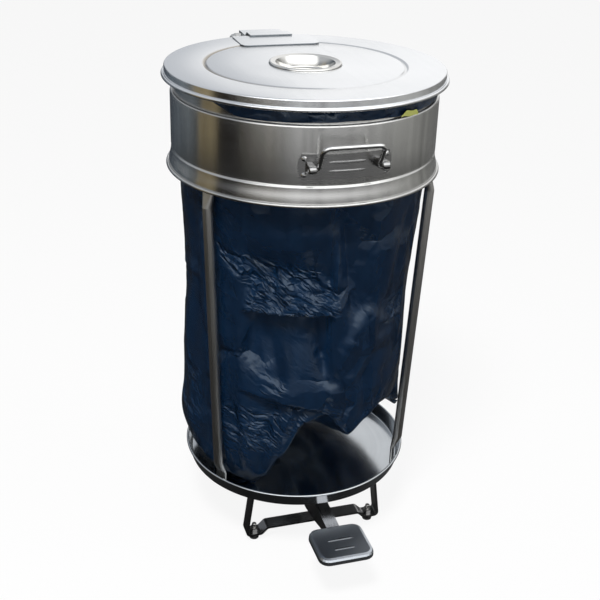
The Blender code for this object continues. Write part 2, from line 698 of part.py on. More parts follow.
def build_bail(stand):
    """Add the wire bail and the two eyes that it turns in."""
    bore = BAIL_WIRE + RUN
    inner_end = BAIL_HALF + BAIL_WIRE + RUN
    outer_end = inner_end + EYE_LENGTH
    radius = bore + EYE_WALL
    for name, side in (("handle_eye_left", -1), ("handle_eye_right", 1)):
        outer = []
        inner = []
        for across in (inner_end, outer_end):
            back = bail_reach - sqrt((handle_face + SEAT) ** 2 - across ** 2)
            edge = [(-y, z) for y, z in arc((0, 0), radius, -90, 90, 8)]
            base = radius + EYE_WALL / 2
            edge += [(back / 2, radius), (back, base), (back, base / 2), (back, 0),
                     (back, -base / 2), (back, -base), (back / 2, -radius)]
            hole = [(bore * y / hypot(y, z), bore * z / hypot(y, z)) for y, z in edge]
            outer.append([(side * across, y, z) for y, z in edge])
            inner.append([(side * across, y, z) for y, z in hole])
        add_piece(name, pipe(outer, inner), STEEL, stand, place=(0, -bail_reach, handle_level))
    pin = outer_end - RUN
    path = rounded([(-pin, 0), (-BAIL_HALF, 0), (-BAIL_HALF, BAIL_LENGTH),
                    (BAIL_HALF, BAIL_LENGTH), (BAIL_HALF, 0), (pin, 0)],
                   [BAIL_WIRE + RUN, BAIL_BEND, BAIL_BEND, BAIL_WIRE + RUN])
    wire = bpy.data.curves.new("handle_bail", "CURVE")
    wire.dimensions = "3D"
    wire.bevel_depth = BAIL_WIRE * MM
    wire.bevel_resolution = 2
    wire.use_fill_caps = True
    spline = wire.splines.new("POLY")
    spline.points.add(len(path) - 1)
    for point, (across, out) in zip(spline.points, path):
        point.co = (across * MM, -out * MM, 0, 1)
    wire.materials.append(make_finish("handle_bail", BRIGHT))
    place_object("handle_bail", wire, stand, (0, -bail_reach, handle_level),
                 (-radians(BAIL_RISE), 0, 0))


def ease(low, high, value):
    """Return a soft step from 0 at low to 1 at high."""
    share = min(1.0, max(0.0, (value - low) / (high - low)))
    return share * share * (3 - 2 * share)


def sack_foot(bearing):
    """Return the level and the radius of the sack's lower fold at a bearing."""
    for (a, rise, inset), (b, next_rise, next_inset) in zip(SACK_FOOT, SACK_FOOT[1:]):
        if a <= bearing <= b:
            share = ease(a, b, bearing)
            rise += (next_rise - rise) * share
            inset += (next_inset - inset) * share
            return tray_floor + SEAT + SACK_RISE * rise, TRAY_RADIUS - SACK_INSET * inset
    raise ValueError("bearing outside the table")


def hem_level(bearing):
    """Return the level of the lower crease at a bearing."""
    left, right = HEM_REACH
    share = min(1.0, max(0.0, (bearing - left) / (right - left)))
    return tray_floor + HEM_HEIGHT - HEM_FALL * share


def crease_push(bearing, rise, depth, lap, reach):
    """Return how far a crease draws the film in, at a height above the crease."""
    strength = depth * ease(reach[0] - CREASE_FADE, reach[0], bearing)
    strength *= 1 - ease(reach[1], reach[1] + CREASE_FADE / 2, bearing)
    if rise >= 0:
        above = ease(0.0, lap, rise)
        sink = CREASE_SINK * above * (1 - ease(lap, CREASE_SPAN * lap, rise))
        return strength * (sink - CREASE_STAND * (1 - above))
    under = (CREASE_SINK + CREASE_STAND) * ease(0.0, CREASE_TURN, -rise)
    return strength * (under - CREASE_STAND) * exp(rise / lap)


def sack_radius(bearing, level):
    """Return the radius of the hanging sack at a place."""
    foot, near = sack_foot(bearing)
    slack = tray_floor + SACK_HANG
    share = min(1.0, max(0.0, (level - slack) / (drum_base - slack)))
    bore = DRUM_RADIUS - DRUM_SHEET - GROOVE_DEPTH - TUBE_FLAT
    radius = min(tube_centre(level) - TUBE_RADIUS, bore) - SACK_EASE
    radius -= SACK_WAIST * sin(pi * share) ** 2
    off = (bearing - SACK_SWELL_BEARING) / SACK_SWELL_WIDTH
    swell = SACK_SWELL * (1 - share) + SACK_DROOP * ease(slack, slack - SACK_HANG / 2, level)
    radius += swell * exp(-off * off)
    drawn = min(1.0, max(0.0, 1 - (level - foot) / SACK_DRAW)) ** SACK_CURVE
    radius += (near - radius) * drawn
    radius -= crease_push(bearing, level - tray_floor - CREASE_HEIGHT, CREASE_DEPTH, CREASE_LAP,
                          CREASE_REACH)
    radius -= crease_push(bearing, level - hem_level(bearing), HEM_DEPTH, HEM_LAP, HEM_REACH)
    over = max(0.0, level - tray_rim - SEAT)
    return min(radius, TRAY_RADIUS - SACK_EASE + SACK_LEAN * over)


def sack_loop(level_at, inset):
    """Return the loop of points of the hanging sack at the level that each bearing has."""
    loop = []
    for i in range(SACK_SIDES):
        bearing = 360.0 * i / SACK_SIDES - 180.0
        level = level_at(bearing)
        loop.append(around(sack_radius(bearing, level) - inset, bearing, level + inset))
    return loop


def sack_levels():
    """Return, from the drum down to the lower fold, how high each loop lies at a bearing."""
    crease = tray_floor + CREASE_HEIGHT
    slack = crease - 2 * CREASE_LAP
    flat = [groove_level + GROOVE_WIDTH, drum_base, drum_base - SACK_HANG / 2,
            crease + CREASE_LAP, crease + SEAT, crease - CREASE_TURN, crease - CREASE_LAP, slack]
    rows = [lambda bearing, level=level: level for level in flat]

    def under(share):
        def level_at(bearing):
            foot = sack_foot(bearing)[0]
            top = max(foot, min(hem_level(bearing), slack) - CREASE_TURN)
            return top + (foot - top) * share
        return level_at

    rows.append(lambda bearing: max(under(0)(bearing), hem_level(bearing)))
    return rows + [under(share) for share in (0.0, 0.45, 0.8, 1.0)]


def sack_base(share, inset):
    """Return a loop of the sack's bottom, from its lower fold to its middle."""
    loop = []
    for i in range(SACK_SIDES):
        bearing = 360.0 * i / SACK_SIDES - 180.0
        level, radius = sack_foot(bearing)
        edge = Vector(around(radius, bearing, level))
        x, y, z = around(SACK_BASE_RADIUS, bearing, tray_floor + SACK_BASE_RISE)
        middle = Vector((x + SACK_BASE_SHIFT, y + SACK_BASE_BACK, z))
        loop.append(tuple(edge.lerp(middle, share) + Vector((0, 0, inset))))
    return loop


def sack_ring(radius, level):
    """Return a plain round loop of the sack at the drum's neck."""
    return [around(radius, 360.0 * i / SACK_SIDES - 180.0, level) for i in range(SACK_SIDES)]


def build_sack(stand):
    """Add the sack as one closed wall that is open at its mouth."""
    bore = neck_bore - SACK_SLACK
    outside = (neck_radius + SACK_SLACK) / cos(pi / SACK_SIDES)
    ledge = shoulder + SACK_LEDGE
    top = neck_top + SEAT
    rows = sack_levels()
    outer = [sack_ring(outside, ledge), sack_ring(outside, top), sack_ring(bore, top),
             sack_ring(bore, shoulder - SHOULDER_ROUND)]
    outer += [sack_loop(level_at, 0.0) for level_at in rows]
    outer += [sack_base(share, 0.0) for share in (0.5, 1.0)]
    inner = [sack_ring(outside + SACK_FILM, ledge),
             sack_ring(outside + SACK_FILM, top + SACK_FILM),
             sack_ring(bore - SACK_FILM, top + SACK_FILM),
             sack_ring(bore - SACK_FILM, shoulder - SHOULDER_ROUND)]
    inner += [sack_loop(level_at, SACK_FILM) for level_at in rows]
    inner += [sack_base(share, 2 * SACK_FILM) for share in (0.5, 1.0)]
    add_piece("sack", loft(outer[::-1] + inner), FILM, stand)


def build_lid(stand):
    """Add the lid, its grip cup, the hinge pieces that move with it, and the fixed ones."""
    hinge = (0, hinge_reach, hinge_level)
    pivot = make_empty("lid_pivot", hinge, stand)
    wall = lid_radius + LID_FLARE
    rim_middle = lid_top - LID_HEIGHT + LID_ROLL
    hole = CUP_MOUTH + CUP_SHEET + CUP_HOLE_GAP
    dips = ((1.0, 0.0), (0.45, 0.7), (0.0, 1.0), (-0.45, 0.7), (-1.0, 0.0))
    ring = [(lid_groove_radius + LID_GROOVE_WIDTH / 2 * along, LID_GROOVE_DEPTH * deep)
            for along, deep in dips]
    centre = (lid_radius - LID_CORNER, lid_top - LID_CORNER)
    profile = [(hole, lid_top)] + [(r, lid_top - deep) for r, deep in ring[::-1]]
    profile += arc(centre, LID_CORNER, 90, 0, 3)
    profile += rolled_edge(wall, LID_SHEET, LID_ROLL, rim_middle, up=False)
    profile += arc(centre, LID_CORNER - LID_SHEET, 0, 90, 3)
    profile += [(r, lid_under - deep) for r, deep in ring] + [(hole, lid_under)]
    add_piece("lid", turned(profile), STEEL, pivot, base=hinge)
    build_cup(pivot, hinge)
    build_strap(stand, pivot, hinge)


def build_cup(pivot, hinge):
    """Add the sunk grip cup with its rounded lip."""
    base = lid_top - CUP_DEPTH
    seat = lid_top + SEAT
    lip = seat + CUP_LIP
    bend = CUP_LIP
    under = [(0, base), (CUP_FLOOR_RADIUS - bend, base), (CUP_FLOOR_RADIUS, base + bend / 2),
             (CUP_MOUTH + CUP_SHEET - bend / 2, lid_under - bend / 2),
             (CUP_MOUTH + CUP_SHEET, seat)]
    edge = CUP_RADIUS - bend
    top = [(CUP_RADIUS, seat)] + arc((edge, lip - bend), bend, 0, CUP_LIP_TURN, 6)
    inside = [(CUP_MOUTH - bend / 2, lid_under), (CUP_FLOOR_RADIUS - CUP_SHEET, base + bend),
              (CUP_FLOOR_RADIUS - bend - CUP_SHEET, base + CUP_SHEET), (0, base + CUP_SHEET)]
    shape = turned(under + top + inside, sides=ROUND // 2)
    add_piece("grip_cup", shape, BRIGHT, pivot, base=hinge)


def build_strap(stand, pivot, hinge):
    """Add the lid plate, the hinge strap, the lift lug, the bolt and the hinge bracket."""
    half = PLATE_HALF
    cut = PLATE_CORNER
    rear = sqrt((lid_radius - LID_CORNER) ** 2 - half ** 2)
    outline = [(half, rear), (-half, rear), (-half, plate_front + cut),
               (-half + cut / 3, plate_front + cut / 3), (-half + cut, plate_front),
               (half - cut, plate_front), (half - cut / 3, plate_front + cut / 3),
               (half, plate_front + cut)]
    add_piece("lid_plate", prism(outline, "Z", plate_base, plate_top), STEEL, pivot, base=hinge)

    lip = SEAT / 2
    behind = lid_edge + LID_SHEET
    stations = [(strap_front, strap_top, lip), (behind, strap_top, lip),
                (behind + STRAP_DROP * 1.6, tail_top, STRAP_DROP / 2),
                (behind + STRAP_DROP * 3, tail_top, STRAP_FLANGE - STRAP_THICK),
                (hinge_reach + STRAP_TAIL / 2, tail_top, STRAP_FLANGE - STRAP_THICK),
                (strap_rear, tail_top, STRAP_FLANGE - STRAP_TAIL / 2 - STRAP_THICK)]
    shape = channel(stations, STRAP_HALF, STRAP_THICK)
    strap = add_piece("hinge_strap", shape, STEEL, pivot, base=hinge)
    turn_hole = prism(circle(HINGE_RADIUS + RUN), "X", -2 * STRAP_HALF, 2 * STRAP_HALF)
    combine(strap, add_tool("strap_hole", turn_hole, pivot))

    bolt_hole = prism(circle(HINGE_RADIUS + SEAT), "X", -2 * STRAP_HALF, 2 * STRAP_HALF)
    bracket_half = STRAP_HALF - STRAP_THICK - RUN
    foot = shoulder - BRACKET_BASE - BRACKET_DEPTH
    eye = arc((hinge_reach, hinge_level), BRACKET_EYE, BRACKET_EYE_TURN, 0, 5)
    rod_side = rod_reach + ROD_RADIUS + BRACKET_SHEET
    outline = [(DRUM_RADIUS - STRAP_HALF, foot), (DRUM_RADIUS - STRAP_HALF, foot + BRACKET_DEPTH),
               (DRUM_RADIUS, foot + BRACKET_DEPTH),
               (behind + BRACKET_SHEET, hinge_level - LID_HEIGHT)]
    outline += eye + [(hinge_reach + BRACKET_EYE, hinge_level - BRACKET_EYE),
                      (rod_side, foot + BRACKET_SHEET), (rod_side, foot)]
    bracket = add_piece("hinge_bracket", prism(outline, "X", -bracket_half, bracket_half),
                        STEEL, stand)
    saddle = turned([(0, foot - DRUM_RADIUS), (DRUM_RADIUS + SEAT, foot - DRUM_RADIUS),
                     (DRUM_RADIUS + SEAT, lid_top), (0, lid_top)])
    combine(bracket, add_tool("bracket_saddle", saddle, stand))
    pocket_half = bracket_half - BRACKET_SHEET
    pocket = box((-pocket_half, DRUM_RADIUS + SEAT + BRACKET_SHEET, foot + BRACKET_SHEET),
                 (pocket_half, strap_rear + STRAP_TAIL, lid_top + LID_HEIGHT))
    combine(bracket, add_tool("bracket_pocket", pocket, stand))
    combine(bracket, add_tool("bracket_hole", bolt_hole, stand, place=hinge))
    guide = prism(circle(ROD_RADIUS + RUN, 2 * SMALL), "Z", foot - HINGE_HEAD,
                  foot + BRACKET_SHEET + HINGE_HEAD)
    combine(bracket, add_tool("rod_guide", guide, stand, place=(0, rod_reach, 0)))

    side = STRAP_HALF + SEAT
    tip = side + DOME_LENGTH - DOME_WALL - SEAT
    bolt = turned([(0, -tip), (HINGE_RADIUS, -tip), (HINGE_RADIUS, side), (HINGE_HEAD, side),
                   (HINGE_HEAD, side + HINGE_HEAD_LENGTH * 0.7),
                   (HINGE_HEAD * 0.7, side + HINGE_HEAD_LENGTH),
                   (0, side + HINGE_HEAD_LENGTH)], sides=SMALL)
    add_piece("hinge_bolt", bolt, BRIGHT, stand, place=hinge, turn=(0, pi / 2, 0))
    bore = HINGE_RADIUS + SEAT
    end = DOME_LENGTH - DOME_WALL
    nut = turned([(bore, 0), (NUT_RADIUS, 0), (NUT_RADIUS, end * 0.7), (HINGE_HEAD, end * 0.8),
                  (HINGE_HEAD * 0.8, DOME_LENGTH * 0.85), (HINGE_HEAD * 0.4, DOME_LENGTH),
                  (0, DOME_LENGTH), (0, end), (bore, end)], sides=SMALL)
    add_piece("hinge_dome_nut", nut, BRIGHT, stand, place=(-side, hinge_reach, hinge_level),
              turn=(0, -pi / 2, 0))
    build_lug(pivot, hinge)


def channel(stations, half, sheet):
    """Return a channel, open below, through (distance, top, wall depth) stations."""
    loops = []
    for along, top, depth in stations:
        inside = top - sheet
        base = inside - depth
        loops.append([(-half, along, base), (-half, along, top), (half, along, top),
                      (half, along, base), (half - sheet, along, base),
                      (half - sheet, along, inside), (-half + sheet, along, inside),
                      (-half + sheet, along, base)])
    return loft(loops)


def build_lug(pivot, hinge):
    """Add the slotted lug under the strap that the rod's upper pin pushes."""
    inner = ROD_RADIUS + LUG_GAP
    outer = inner + LUG_SHEET
    tilt = radians(LID_SWING / 2)
    near = LIFT_ARM * cos(tilt)
    slot = ROD_PIN_RADIUS + SLOT_PLAY
    top = tail_under - SEAT
    way = Vector((-cos(tilt), -sin(tilt)))
    across = Vector((-way[1], way[0]))
    middle = Vector((hinge_reach, hinge_level))
    edge = slot + LUG_MARGIN
    first = middle + way * (near - ROD_PIN_RADIUS)
    last = middle + way * LIFT_ARM
    low = pin_top - edge
    front = rod_reach - edge
    back = hinge_reach - HINGE_RADIUS - 2 * RUN
    outline = [(back, top), (front, top), (front, pin_top - edge / 2), (rod_reach - edge / 2, low),
               (rod_reach + edge / 2, low), (back - RUN, pin_top)]
    lug = add_piece("lift_lug", prism(outline, "X", -outer, outer), STEEL, pivot, base=hinge)
    reach = LIFT_ARM + edge
    pocket = box((-inner, front - reach, low - reach), (inner, back + reach, top - LUG_SHEET))
    combine(lug, add_tool("lug_pocket", pocket, pivot, base=hinge))
    cutter = []
    for end, angle in ((last, 0.0), (first, pi)):
        for i in range(7):
            a = angle + pi * (i / 6 - 0.5)
            cutter.append(tuple(end + way * (slot * cos(a)) + across * (slot * sin(a))))
    tool = add_tool("lug_slot", prism(cutter, "X", -2 * outer, 2 * outer), pivot, base=hinge)
    combine(lug, tool)


def build_rod(stand):
    """Add the lift rod with a cross pin near each end."""
    low = pin_base - ROD_END
    high = pin_top + ROD_END
    rod = add_piece("lift_rod", prism(circle(ROD_RADIUS), "Z", low - pin_base, high - pin_base),
                    BRIGHT, stand, place=(0, rod_reach, pin_base))
    half = ROD_PIN_LENGTH / 2
    for name, level in (("rod_pin_lower", pin_base), ("rod_pin_upper", pin_top)):
        add_piece(name, prism(circle(ROD_PIN_RADIUS), "X", -half, half), ZINC, stand,
                  place=(0, rod_reach, level))
        drill = prism(circle(ROD_PIN_RADIUS + SEAT), "X", -2 * half, 2 * half)
        combine(rod, add_tool(name + "_hole", drill, stand, place=(0, rod_reach, level)))


def build_pedal(stand):
    """Add the lever, its pad, and the bracket and pin that carry them under the tray."""
    turn_at = (0, 0, LEVER_PIVOT)
    pivot = make_empty("pedal_pivot", turn_at, stand)
    sheet = LEVER_SHEET
    rear_top = pin_base + LEVER_END_DEPTH / 2
    stations = [(-lever_tip, LEVER_NECK_TOP, LEVER_TIP_DEPTH - sheet),
                (-LEVER_NECK, LEVER_NECK_TOP, LEVER_NECK_DEPTH - sheet),
                (-LEVER_STEP, LEVER_CROWN - SEAT, LEVER_STEP_DEPTH - sheet),
                (-STAND_REACH, LEVER_CROWN, LEVER_DEPTH - 2 * sheet),
                (PIVOT_LENGTH, LEVER_CROWN, LEVER_DEPTH - sheet),
                (rod_reach + LEVER_END, rear_top, LEVER_END_DEPTH - sheet)]
    lever = add_piece("pedal_lever", channel(stations, LEVER_HALF, sheet), STEEL, pivot,
                      base=turn_at)
    reach = LEVER_HALF * 2
    pivot_hole = prism(circle(PIVOT_PIN_RADIUS + RUN), "X", -reach, reach)
    combine(lever, add_tool("lever_hole", pivot_hole, pivot))
    pin_hole = prism(circle(ROD_PIN_RADIUS + PIN_PLAY), "X", -reach, reach)
    at_pin = (0, rod_reach, pin_base - LEVER_PIVOT)
    combine(lever, add_tool("lever_rod_hole", pin_hole, pivot, place=at_pin))
    inside = LEVER_HALF - sheet
    fork = box((-inside, rod_reach - ROD_RADIUS - FORK_GAP, pin_base),
               (inside, rod_reach + 2 * LEVER_END, LEVER_CROWN))
    combine(lever, add_tool("lever_fork", fork, pivot, base=turn_at))
    build_pad(pivot, turn_at)

    inner = LEVER_HALF + RUN
    outer = inner + PIVOT_SHEET
    top = tray_base - SEAT
    low = LEVER_PIVOT - PIVOT_CHEEK
    outline = [(-outer, low), (-outer, top), (outer, top), (outer, low), (inner, low),
               (inner, top - PIVOT_SHEET), (-inner, top - PIVOT_SHEET), (-inner, low)]
    bracket = add_piece("pedal_bracket", prism(outline, "Y", -PIVOT_LENGTH / 2, PIVOT_LENGTH / 2),
                        STEEL, stand)
    hole = prism(circle(PIVOT_PIN_RADIUS + SEAT), "X", -2 * outer, 2 * outer)
    combine(bracket, add_tool("pedal_bracket_hole", hole, stand, place=turn_at))
    half = outer + PIVOT_PIN_OVER
    add_piece("pedal_pin", prism(circle(PIVOT_PIN_RADIUS), "X", -half, half), ZINC, stand,
              place=turn_at)


def pad_loop(inset, level):
    """Return a rounded rectangle of the pad, set in from its edge."""
    half = PAD_HALF - inset
    length = PAD_LENGTH / 2 - inset
    corner = PAD_CORNER - inset
    middle = -(PAD_BACK + PAD_LENGTH / 2)
    loop = []
    for number, (x, y) in enumerate(((1, 1), (-1, 1), (-1, -1), (1, -1))):
        centre = (x * (half - corner), middle + y * (length - corner))
        loop += arc(centre, corner, QUARTER * number, QUARTER * (number + 1), 5)
    return [(x, y, level) for x, y in loop]


def build_pad(pivot, turn_at):
    """Add the pressed pad with a turned-down edge and two ridges."""
    base = pad_top - PAD_SKIRT
    outer = [pad_loop(0, base), pad_loop(PAD_SHEET / 4, pad_top - PAD_CROWN * 0.7),
             pad_loop(PAD_CROWN * 0.35, pad_top - PAD_CROWN * 0.2), pad_loop(PAD_CROWN, pad_top)]
    inner = [pad_loop(PAD_CROWN + PAD_SHEET * 0.5, pad_under),
             pad_loop(PAD_CROWN * 0.35 + PAD_SHEET, pad_under - PAD_CROWN * 0.2),
             pad_loop(PAD_SHEET * 1.25, pad_under - PAD_CROWN * 0.7), pad_loop(PAD_SHEET, base)]
    shape = bmesh.new()
    loops = [[shape.verts.new(point) for point in loop] for loop in outer + inner]
    for lower, upper in list(zip(loops[:4], loops[1:4])) + list(zip(loops[4:], loops[5:])):
        for i in range(len(lower)):
            j = (i + 1) % len(lower)
            shape.faces.new((lower[i], lower[j], upper[j], upper[i]))
    for i in range(len(loops[0])):
        j = (i + 1) % len(loops[0])
        shape.faces.new((loops[-1][i], loops[-1][j], loops[0][j], loops[0][i]))
    shape.faces.new(loops[3])
    shape.faces.new(loops[4])
    pad = add_piece("pedal_pad", shape, STEEL, pivot, base=turn_at)
    for number in range(2):
        along = -(PAD_BACK + PAD_RIDGE_FIRST + PAD_RIDGE_SPACE * number)
        half = PAD_RIDGE_HALF - PAD_RIDGE_WIDTH * number
        sunk = pad_top - PAD_SHEET / 2
        loops = []
        for x, size in ((-half, 0.4), (-half + PAD_RIDGE_WIDTH / 2, 1.0),
                        (half - PAD_RIDGE_WIDTH / 2, 1.0), (half, 0.4)):
            wide = PAD_RIDGE_WIDTH / 2 * size
            rise = pad_top + PAD_RIDGE_RISE * size
            loops.append([(x, along - wide, sunk), (x, along - wide, pad_top),
                          (x, along - wide / 2, rise), (x, along + wide / 2, rise),
                          (x, along + wide, pad_top), (x, along + wide, sunk)])
        ridge = add_tool("pad_ridge_%d" % (number + 1), loft(loops), pivot, base=turn_at)
        combine(pad, ridge, "UNION")
    side = LEVER_HALF + RUN
    notch = box((-side, -PAD_BACK - PAD_CROWN - PAD_SHEET, base - PAD_SKIRT),
                (side, -PAD_BACK + PAD_SKIRT, pad_under))
    combine(pad, add_tool("pad_notch", notch, pivot, base=turn_at))


def build():
    """Build the whole sack holder."""
    clear_scene()
    stand = make_empty("stand_axis", (0, axis_shift, 0))
    build_feet(stand)
    build_stands(stand)
    build_tray(stand)
    build_tubes(stand)
    build_drum(stand)
    build_bail(stand)
    build_sack(stand)
    build_lid(stand)
    build_rod(stand)
    build_pedal(stand)


build()
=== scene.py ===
"""Looks of the waste sack holder: brushed steel, rubber feet and a hanging film sack."""

import logging
from dataclasses import dataclass, field
from enum import Enum
from math import acos, cos, exp, pi, radians, sin, sqrt
from typing import Any

import bmesh
import bpy
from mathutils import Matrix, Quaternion, Vector, noise


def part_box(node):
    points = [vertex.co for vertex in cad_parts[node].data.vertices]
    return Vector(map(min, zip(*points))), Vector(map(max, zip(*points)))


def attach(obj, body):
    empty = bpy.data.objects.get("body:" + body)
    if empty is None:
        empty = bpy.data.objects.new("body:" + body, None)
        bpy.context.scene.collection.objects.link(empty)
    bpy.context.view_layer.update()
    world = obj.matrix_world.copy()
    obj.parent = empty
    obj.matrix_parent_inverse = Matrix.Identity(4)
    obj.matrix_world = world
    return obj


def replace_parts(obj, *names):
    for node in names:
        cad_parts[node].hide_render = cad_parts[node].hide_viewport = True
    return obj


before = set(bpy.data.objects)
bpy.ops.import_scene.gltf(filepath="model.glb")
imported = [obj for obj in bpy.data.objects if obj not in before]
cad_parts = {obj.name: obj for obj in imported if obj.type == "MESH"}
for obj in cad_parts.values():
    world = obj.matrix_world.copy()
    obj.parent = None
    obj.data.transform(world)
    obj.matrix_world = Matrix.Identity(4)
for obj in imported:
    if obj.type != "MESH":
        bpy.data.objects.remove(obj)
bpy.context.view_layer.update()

log = logging.getLogger("sack_holder")
MM = 0.001
AXIS_Y = 0.016  # the drum's axis stands this far behind the frame's middle, in metres
ALONG, ACROSS = 4.0, 900.0  # brushed lines per metre along and across the brushing
ROUND_CHANGE = 0.8  # how fast round brushing changes as it goes round
BRUSH_TURN = 0.25  # sets the highlights across the brushing
GRAIN = 0.0003  # height of brushed lines and fine grain, in metres
WELD = 0.01  # points nearer than this are joined, in millimetres
Point = tuple[float, float]
Place = tuple[float, float, float]
Colour = tuple[float, float, float]
Stops = tuple[tuple[float, float | Colour], ...] | list[tuple[float, float | Colour]]
Loop = list[Vector]
WHITE: Colour = (1.0, 1.0, 1.0)


def smooth(low: float, high: float, value: float) -> float:
    """Return a soft step from 0 at low to 1 at high."""
    share = min(1.0, max(0.0, (value - low) / (high - low)))
    return share * share * (3 - 2 * share)


def mixed(first: float, last: float, share: float) -> float:
    """Return the number at a share of the way from first to last."""
    return first + (last - first) * share


def around(radius: float, bearing: float, level: float) -> Vector:
    """Return a point at a bearing in degrees from the front."""
    turn = radians(bearing)
    return Vector((radius * sin(turn), -radius * cos(turn), level))


def turns(count: int) -> list[float]:
    """Return even angles round a circle, in radians."""
    return [2 * pi * i / count for i in range(count)]


def ridges(place: Vector, scales: Point) -> float:
    """Return ridged noise of two sizes at a place."""
    return abs(noise.noise(place * scales[0])) + 0.5 * abs(noise.noise(place * scales[1]))


class Value:
    """A shader output that Python arithmetic turns into Math nodes."""

    def __init__(self, graph: "Graph", socket: bpy.types.NodeSocket) -> None:
        """Keep the socket and the graph that it belongs to."""
        self.graph = graph
        self.socket = socket

    def __add__(self, other: Any) -> "Value":
        """Return self + other."""
        return self.graph.maths("ADD", self, other)

    def __radd__(self, other: Any) -> "Value":
        """Return other + self."""
        return self.graph.maths("ADD", other, self)

    def __sub__(self, other: Any) -> "Value":
        """Return self - other."""
        return self.graph.maths("SUBTRACT", self, other)

    def __rsub__(self, other: Any) -> "Value":
        """Return other - self."""
        return self.graph.maths("SUBTRACT", other, self)

    def __mul__(self, other: Any) -> "Value":
        """Return self * other."""
        return self.graph.maths("MULTIPLY", self, other)

    def __rmul__(self, other: Any) -> "Value":
        """Return other * self."""
        return self.graph.maths("MULTIPLY", other, self)

    def __truediv__(self, other: Any) -> "Value":
        """Return self / other."""
        return self.graph.maths("DIVIDE", self, other)

    def __rtruediv__(self, other: Any) -> "Value":
        """Return other / self."""
        return self.graph.maths("DIVIDE", other, self)


class Graph:
    """The nodes of one material or world."""

    def __init__(self, tree: bpy.types.NodeTree) -> None:
        """Start an empty graph in a node tree."""
        self.tree = tree
        tree.nodes.clear()

    def node(self, kind: str, settings: dict[str, Any] | None = None,
             inputs: dict[Any, Any] | None = None) -> bpy.types.Node:
        """Add one node.

        Args:
            kind: Blender's type of the node.
            settings: Attributes set first; stops holds a ramp's positions and colours.
            inputs: Values or links by socket name or number.

        Returns:
            The new node.
        """
        made = self.tree.nodes.new(kind)
        for key, value in (settings or {}).items():
            if key == "stops":
                self.set_stops(made.color_ramp, value)
            else:
                setattr(made, key, value)
        for key, value in (inputs or {}).items():
            if isinstance(value, Value):
                self.tree.links.new(value.socket, made.inputs[key])
            elif isinstance(value, bpy.types.Node):
                self.tree.links.new(value.outputs[0], made.inputs[key])
            else:
                made.inputs[key].default_value = value
        return made

    @staticmethod
    def set_stops(ramp: bpy.types.ColorRamp, stops: Stops) -> None:
        """Give a ramp its stops.

        Args:
            ramp: Ramp of a new node.
            stops: Pairs of a position and a grey level or colour.
        """
        while len(ramp.elements) < len(stops):
            ramp.elements.new(1.0)
        for element, (place, shade) in zip(ramp.elements, stops):
            element.position = place
            element.color = (*shade, 1.0) if isinstance(shade, tuple) else (shade,) * 3 + (1.0,)

    def value(self, kind: str, settings: dict[str, Any] | None = None,
              inputs: dict[Any, Any] | None = None, output: Any = 0) -> Value:
        """Add one node and return one of its outputs."""
        return Value(self, self.node(kind, settings, inputs).outputs[output])

    def maths(self, operation: str, first: Any, second: Any = 0.0) -> Value:
        """Return the output of a Math node."""
        return self.value("ShaderNodeMath", {"operation": operation}, {0: first, 1: second})

    def vector(self, operation: str, first: Any, second: Any, output: Any = 0) -> Value:
        """Return an output of a Vector Math node."""
        return self.value("ShaderNodeVectorMath", {"operation": operation},
                          {0: first, 1: second}, output)

    def colours(self, factor: Any, first: Value | Colour, second: Value | Colour) -> Value:
        """Return a mix of two colours."""
        one, two = [(*end, 1.0) if isinstance(end, tuple) else end for end in (first, second)]
        return self.value("ShaderNodeMix", {"data_type": "RGBA"}, {0: factor, 6: one, 7: two}, 2)

    def place(self) -> Value:
        """Return the place on the piece in the shared frame, in metres."""
        return self.value("ShaderNodeTexCoord", output="Object")

    def parts(self, place: Value) -> tuple[Value, Value, Value]:
        """Return the three numbers of a vector."""
        split = self.node("ShaderNodeSeparateXYZ", inputs={0: place})
        return tuple(Value(self, split.outputs[i]) for i in range(3))

    def joined(self, x: Any, y: Any, z: Any) -> Value:
        """Return a vector made of three numbers."""
        return self.value("ShaderNodeCombineXYZ", inputs={0: x, 1: y, 2: z})

    def length(self, x: Value, y: Value) -> Value:
        """Return how far a point lies from an upright axis."""
        return self.maths("SQRT", x * x + y * y)

    def noise(self, place: Any, scale: float, detail: float = 2.0, rough: float = 0.5) -> Value:
        """Return noise at a place, about 0 to 1."""
        return self.value("ShaderNodeTexNoise", None, {
            "Vector": place, "Scale": scale, "Detail": detail, "Roughness": rough})

    def ramp(self, number: Value, low: float, high: float) -> Value:
        """Return a number that rises from 0 at low to 1 at high."""
        share = (number - low) / (high - low)
        return self.maths("MINIMUM", self.maths("MAXIMUM", share, 0.0), 1.0)

    def steps(self, factor: Value, stops: Stops) -> Value:
        """Return a number passed through a ramp of grey levels or colours."""
        return self.value("ShaderNodeValToRGB", {"stops": stops}, {0: factor})

    def bump(self, height: Value, strength: float, distance: float = GRAIN) -> Value:
        """Return a normal roughened by a height."""
        return self.value("ShaderNodeBump", inputs={
            "Height": height, "Strength": strength, "Distance": distance})

    def surface(self, inputs: dict[str, Any]) -> None:
        """Add the shader of a solid piece and link it to the output."""
        shader = self.node("ShaderNodeBsdfPrincipled", inputs=inputs)
        self.node("ShaderNodeOutputMaterial", inputs={"Surface": shader})


def new_graph(name: str) -> tuple[bpy.types.Material, Graph]:
    """Make a material.

    Args:
        name: Name of the material.

    Returns:
        The material and its empty graph.
    """
    material = bpy.data.materials.new(name)
    material.use_nodes = True
    return material, Graph(material.node_tree)


class Brushing(Enum):
    """How fast the brushed lines change along X, Y and Z, in lines per metre."""

    ROUND = (0.0, 0.0, 0.0)
    ALONG_X = (ALONG, ACROSS, ACROSS)
    ALONG_Y = (ACROSS, ALONG, ACROSS)
    ALONG_Z = (ACROSS, ACROSS, ALONG)
    STRIP = (ALONG, ACROSS, ALONG)


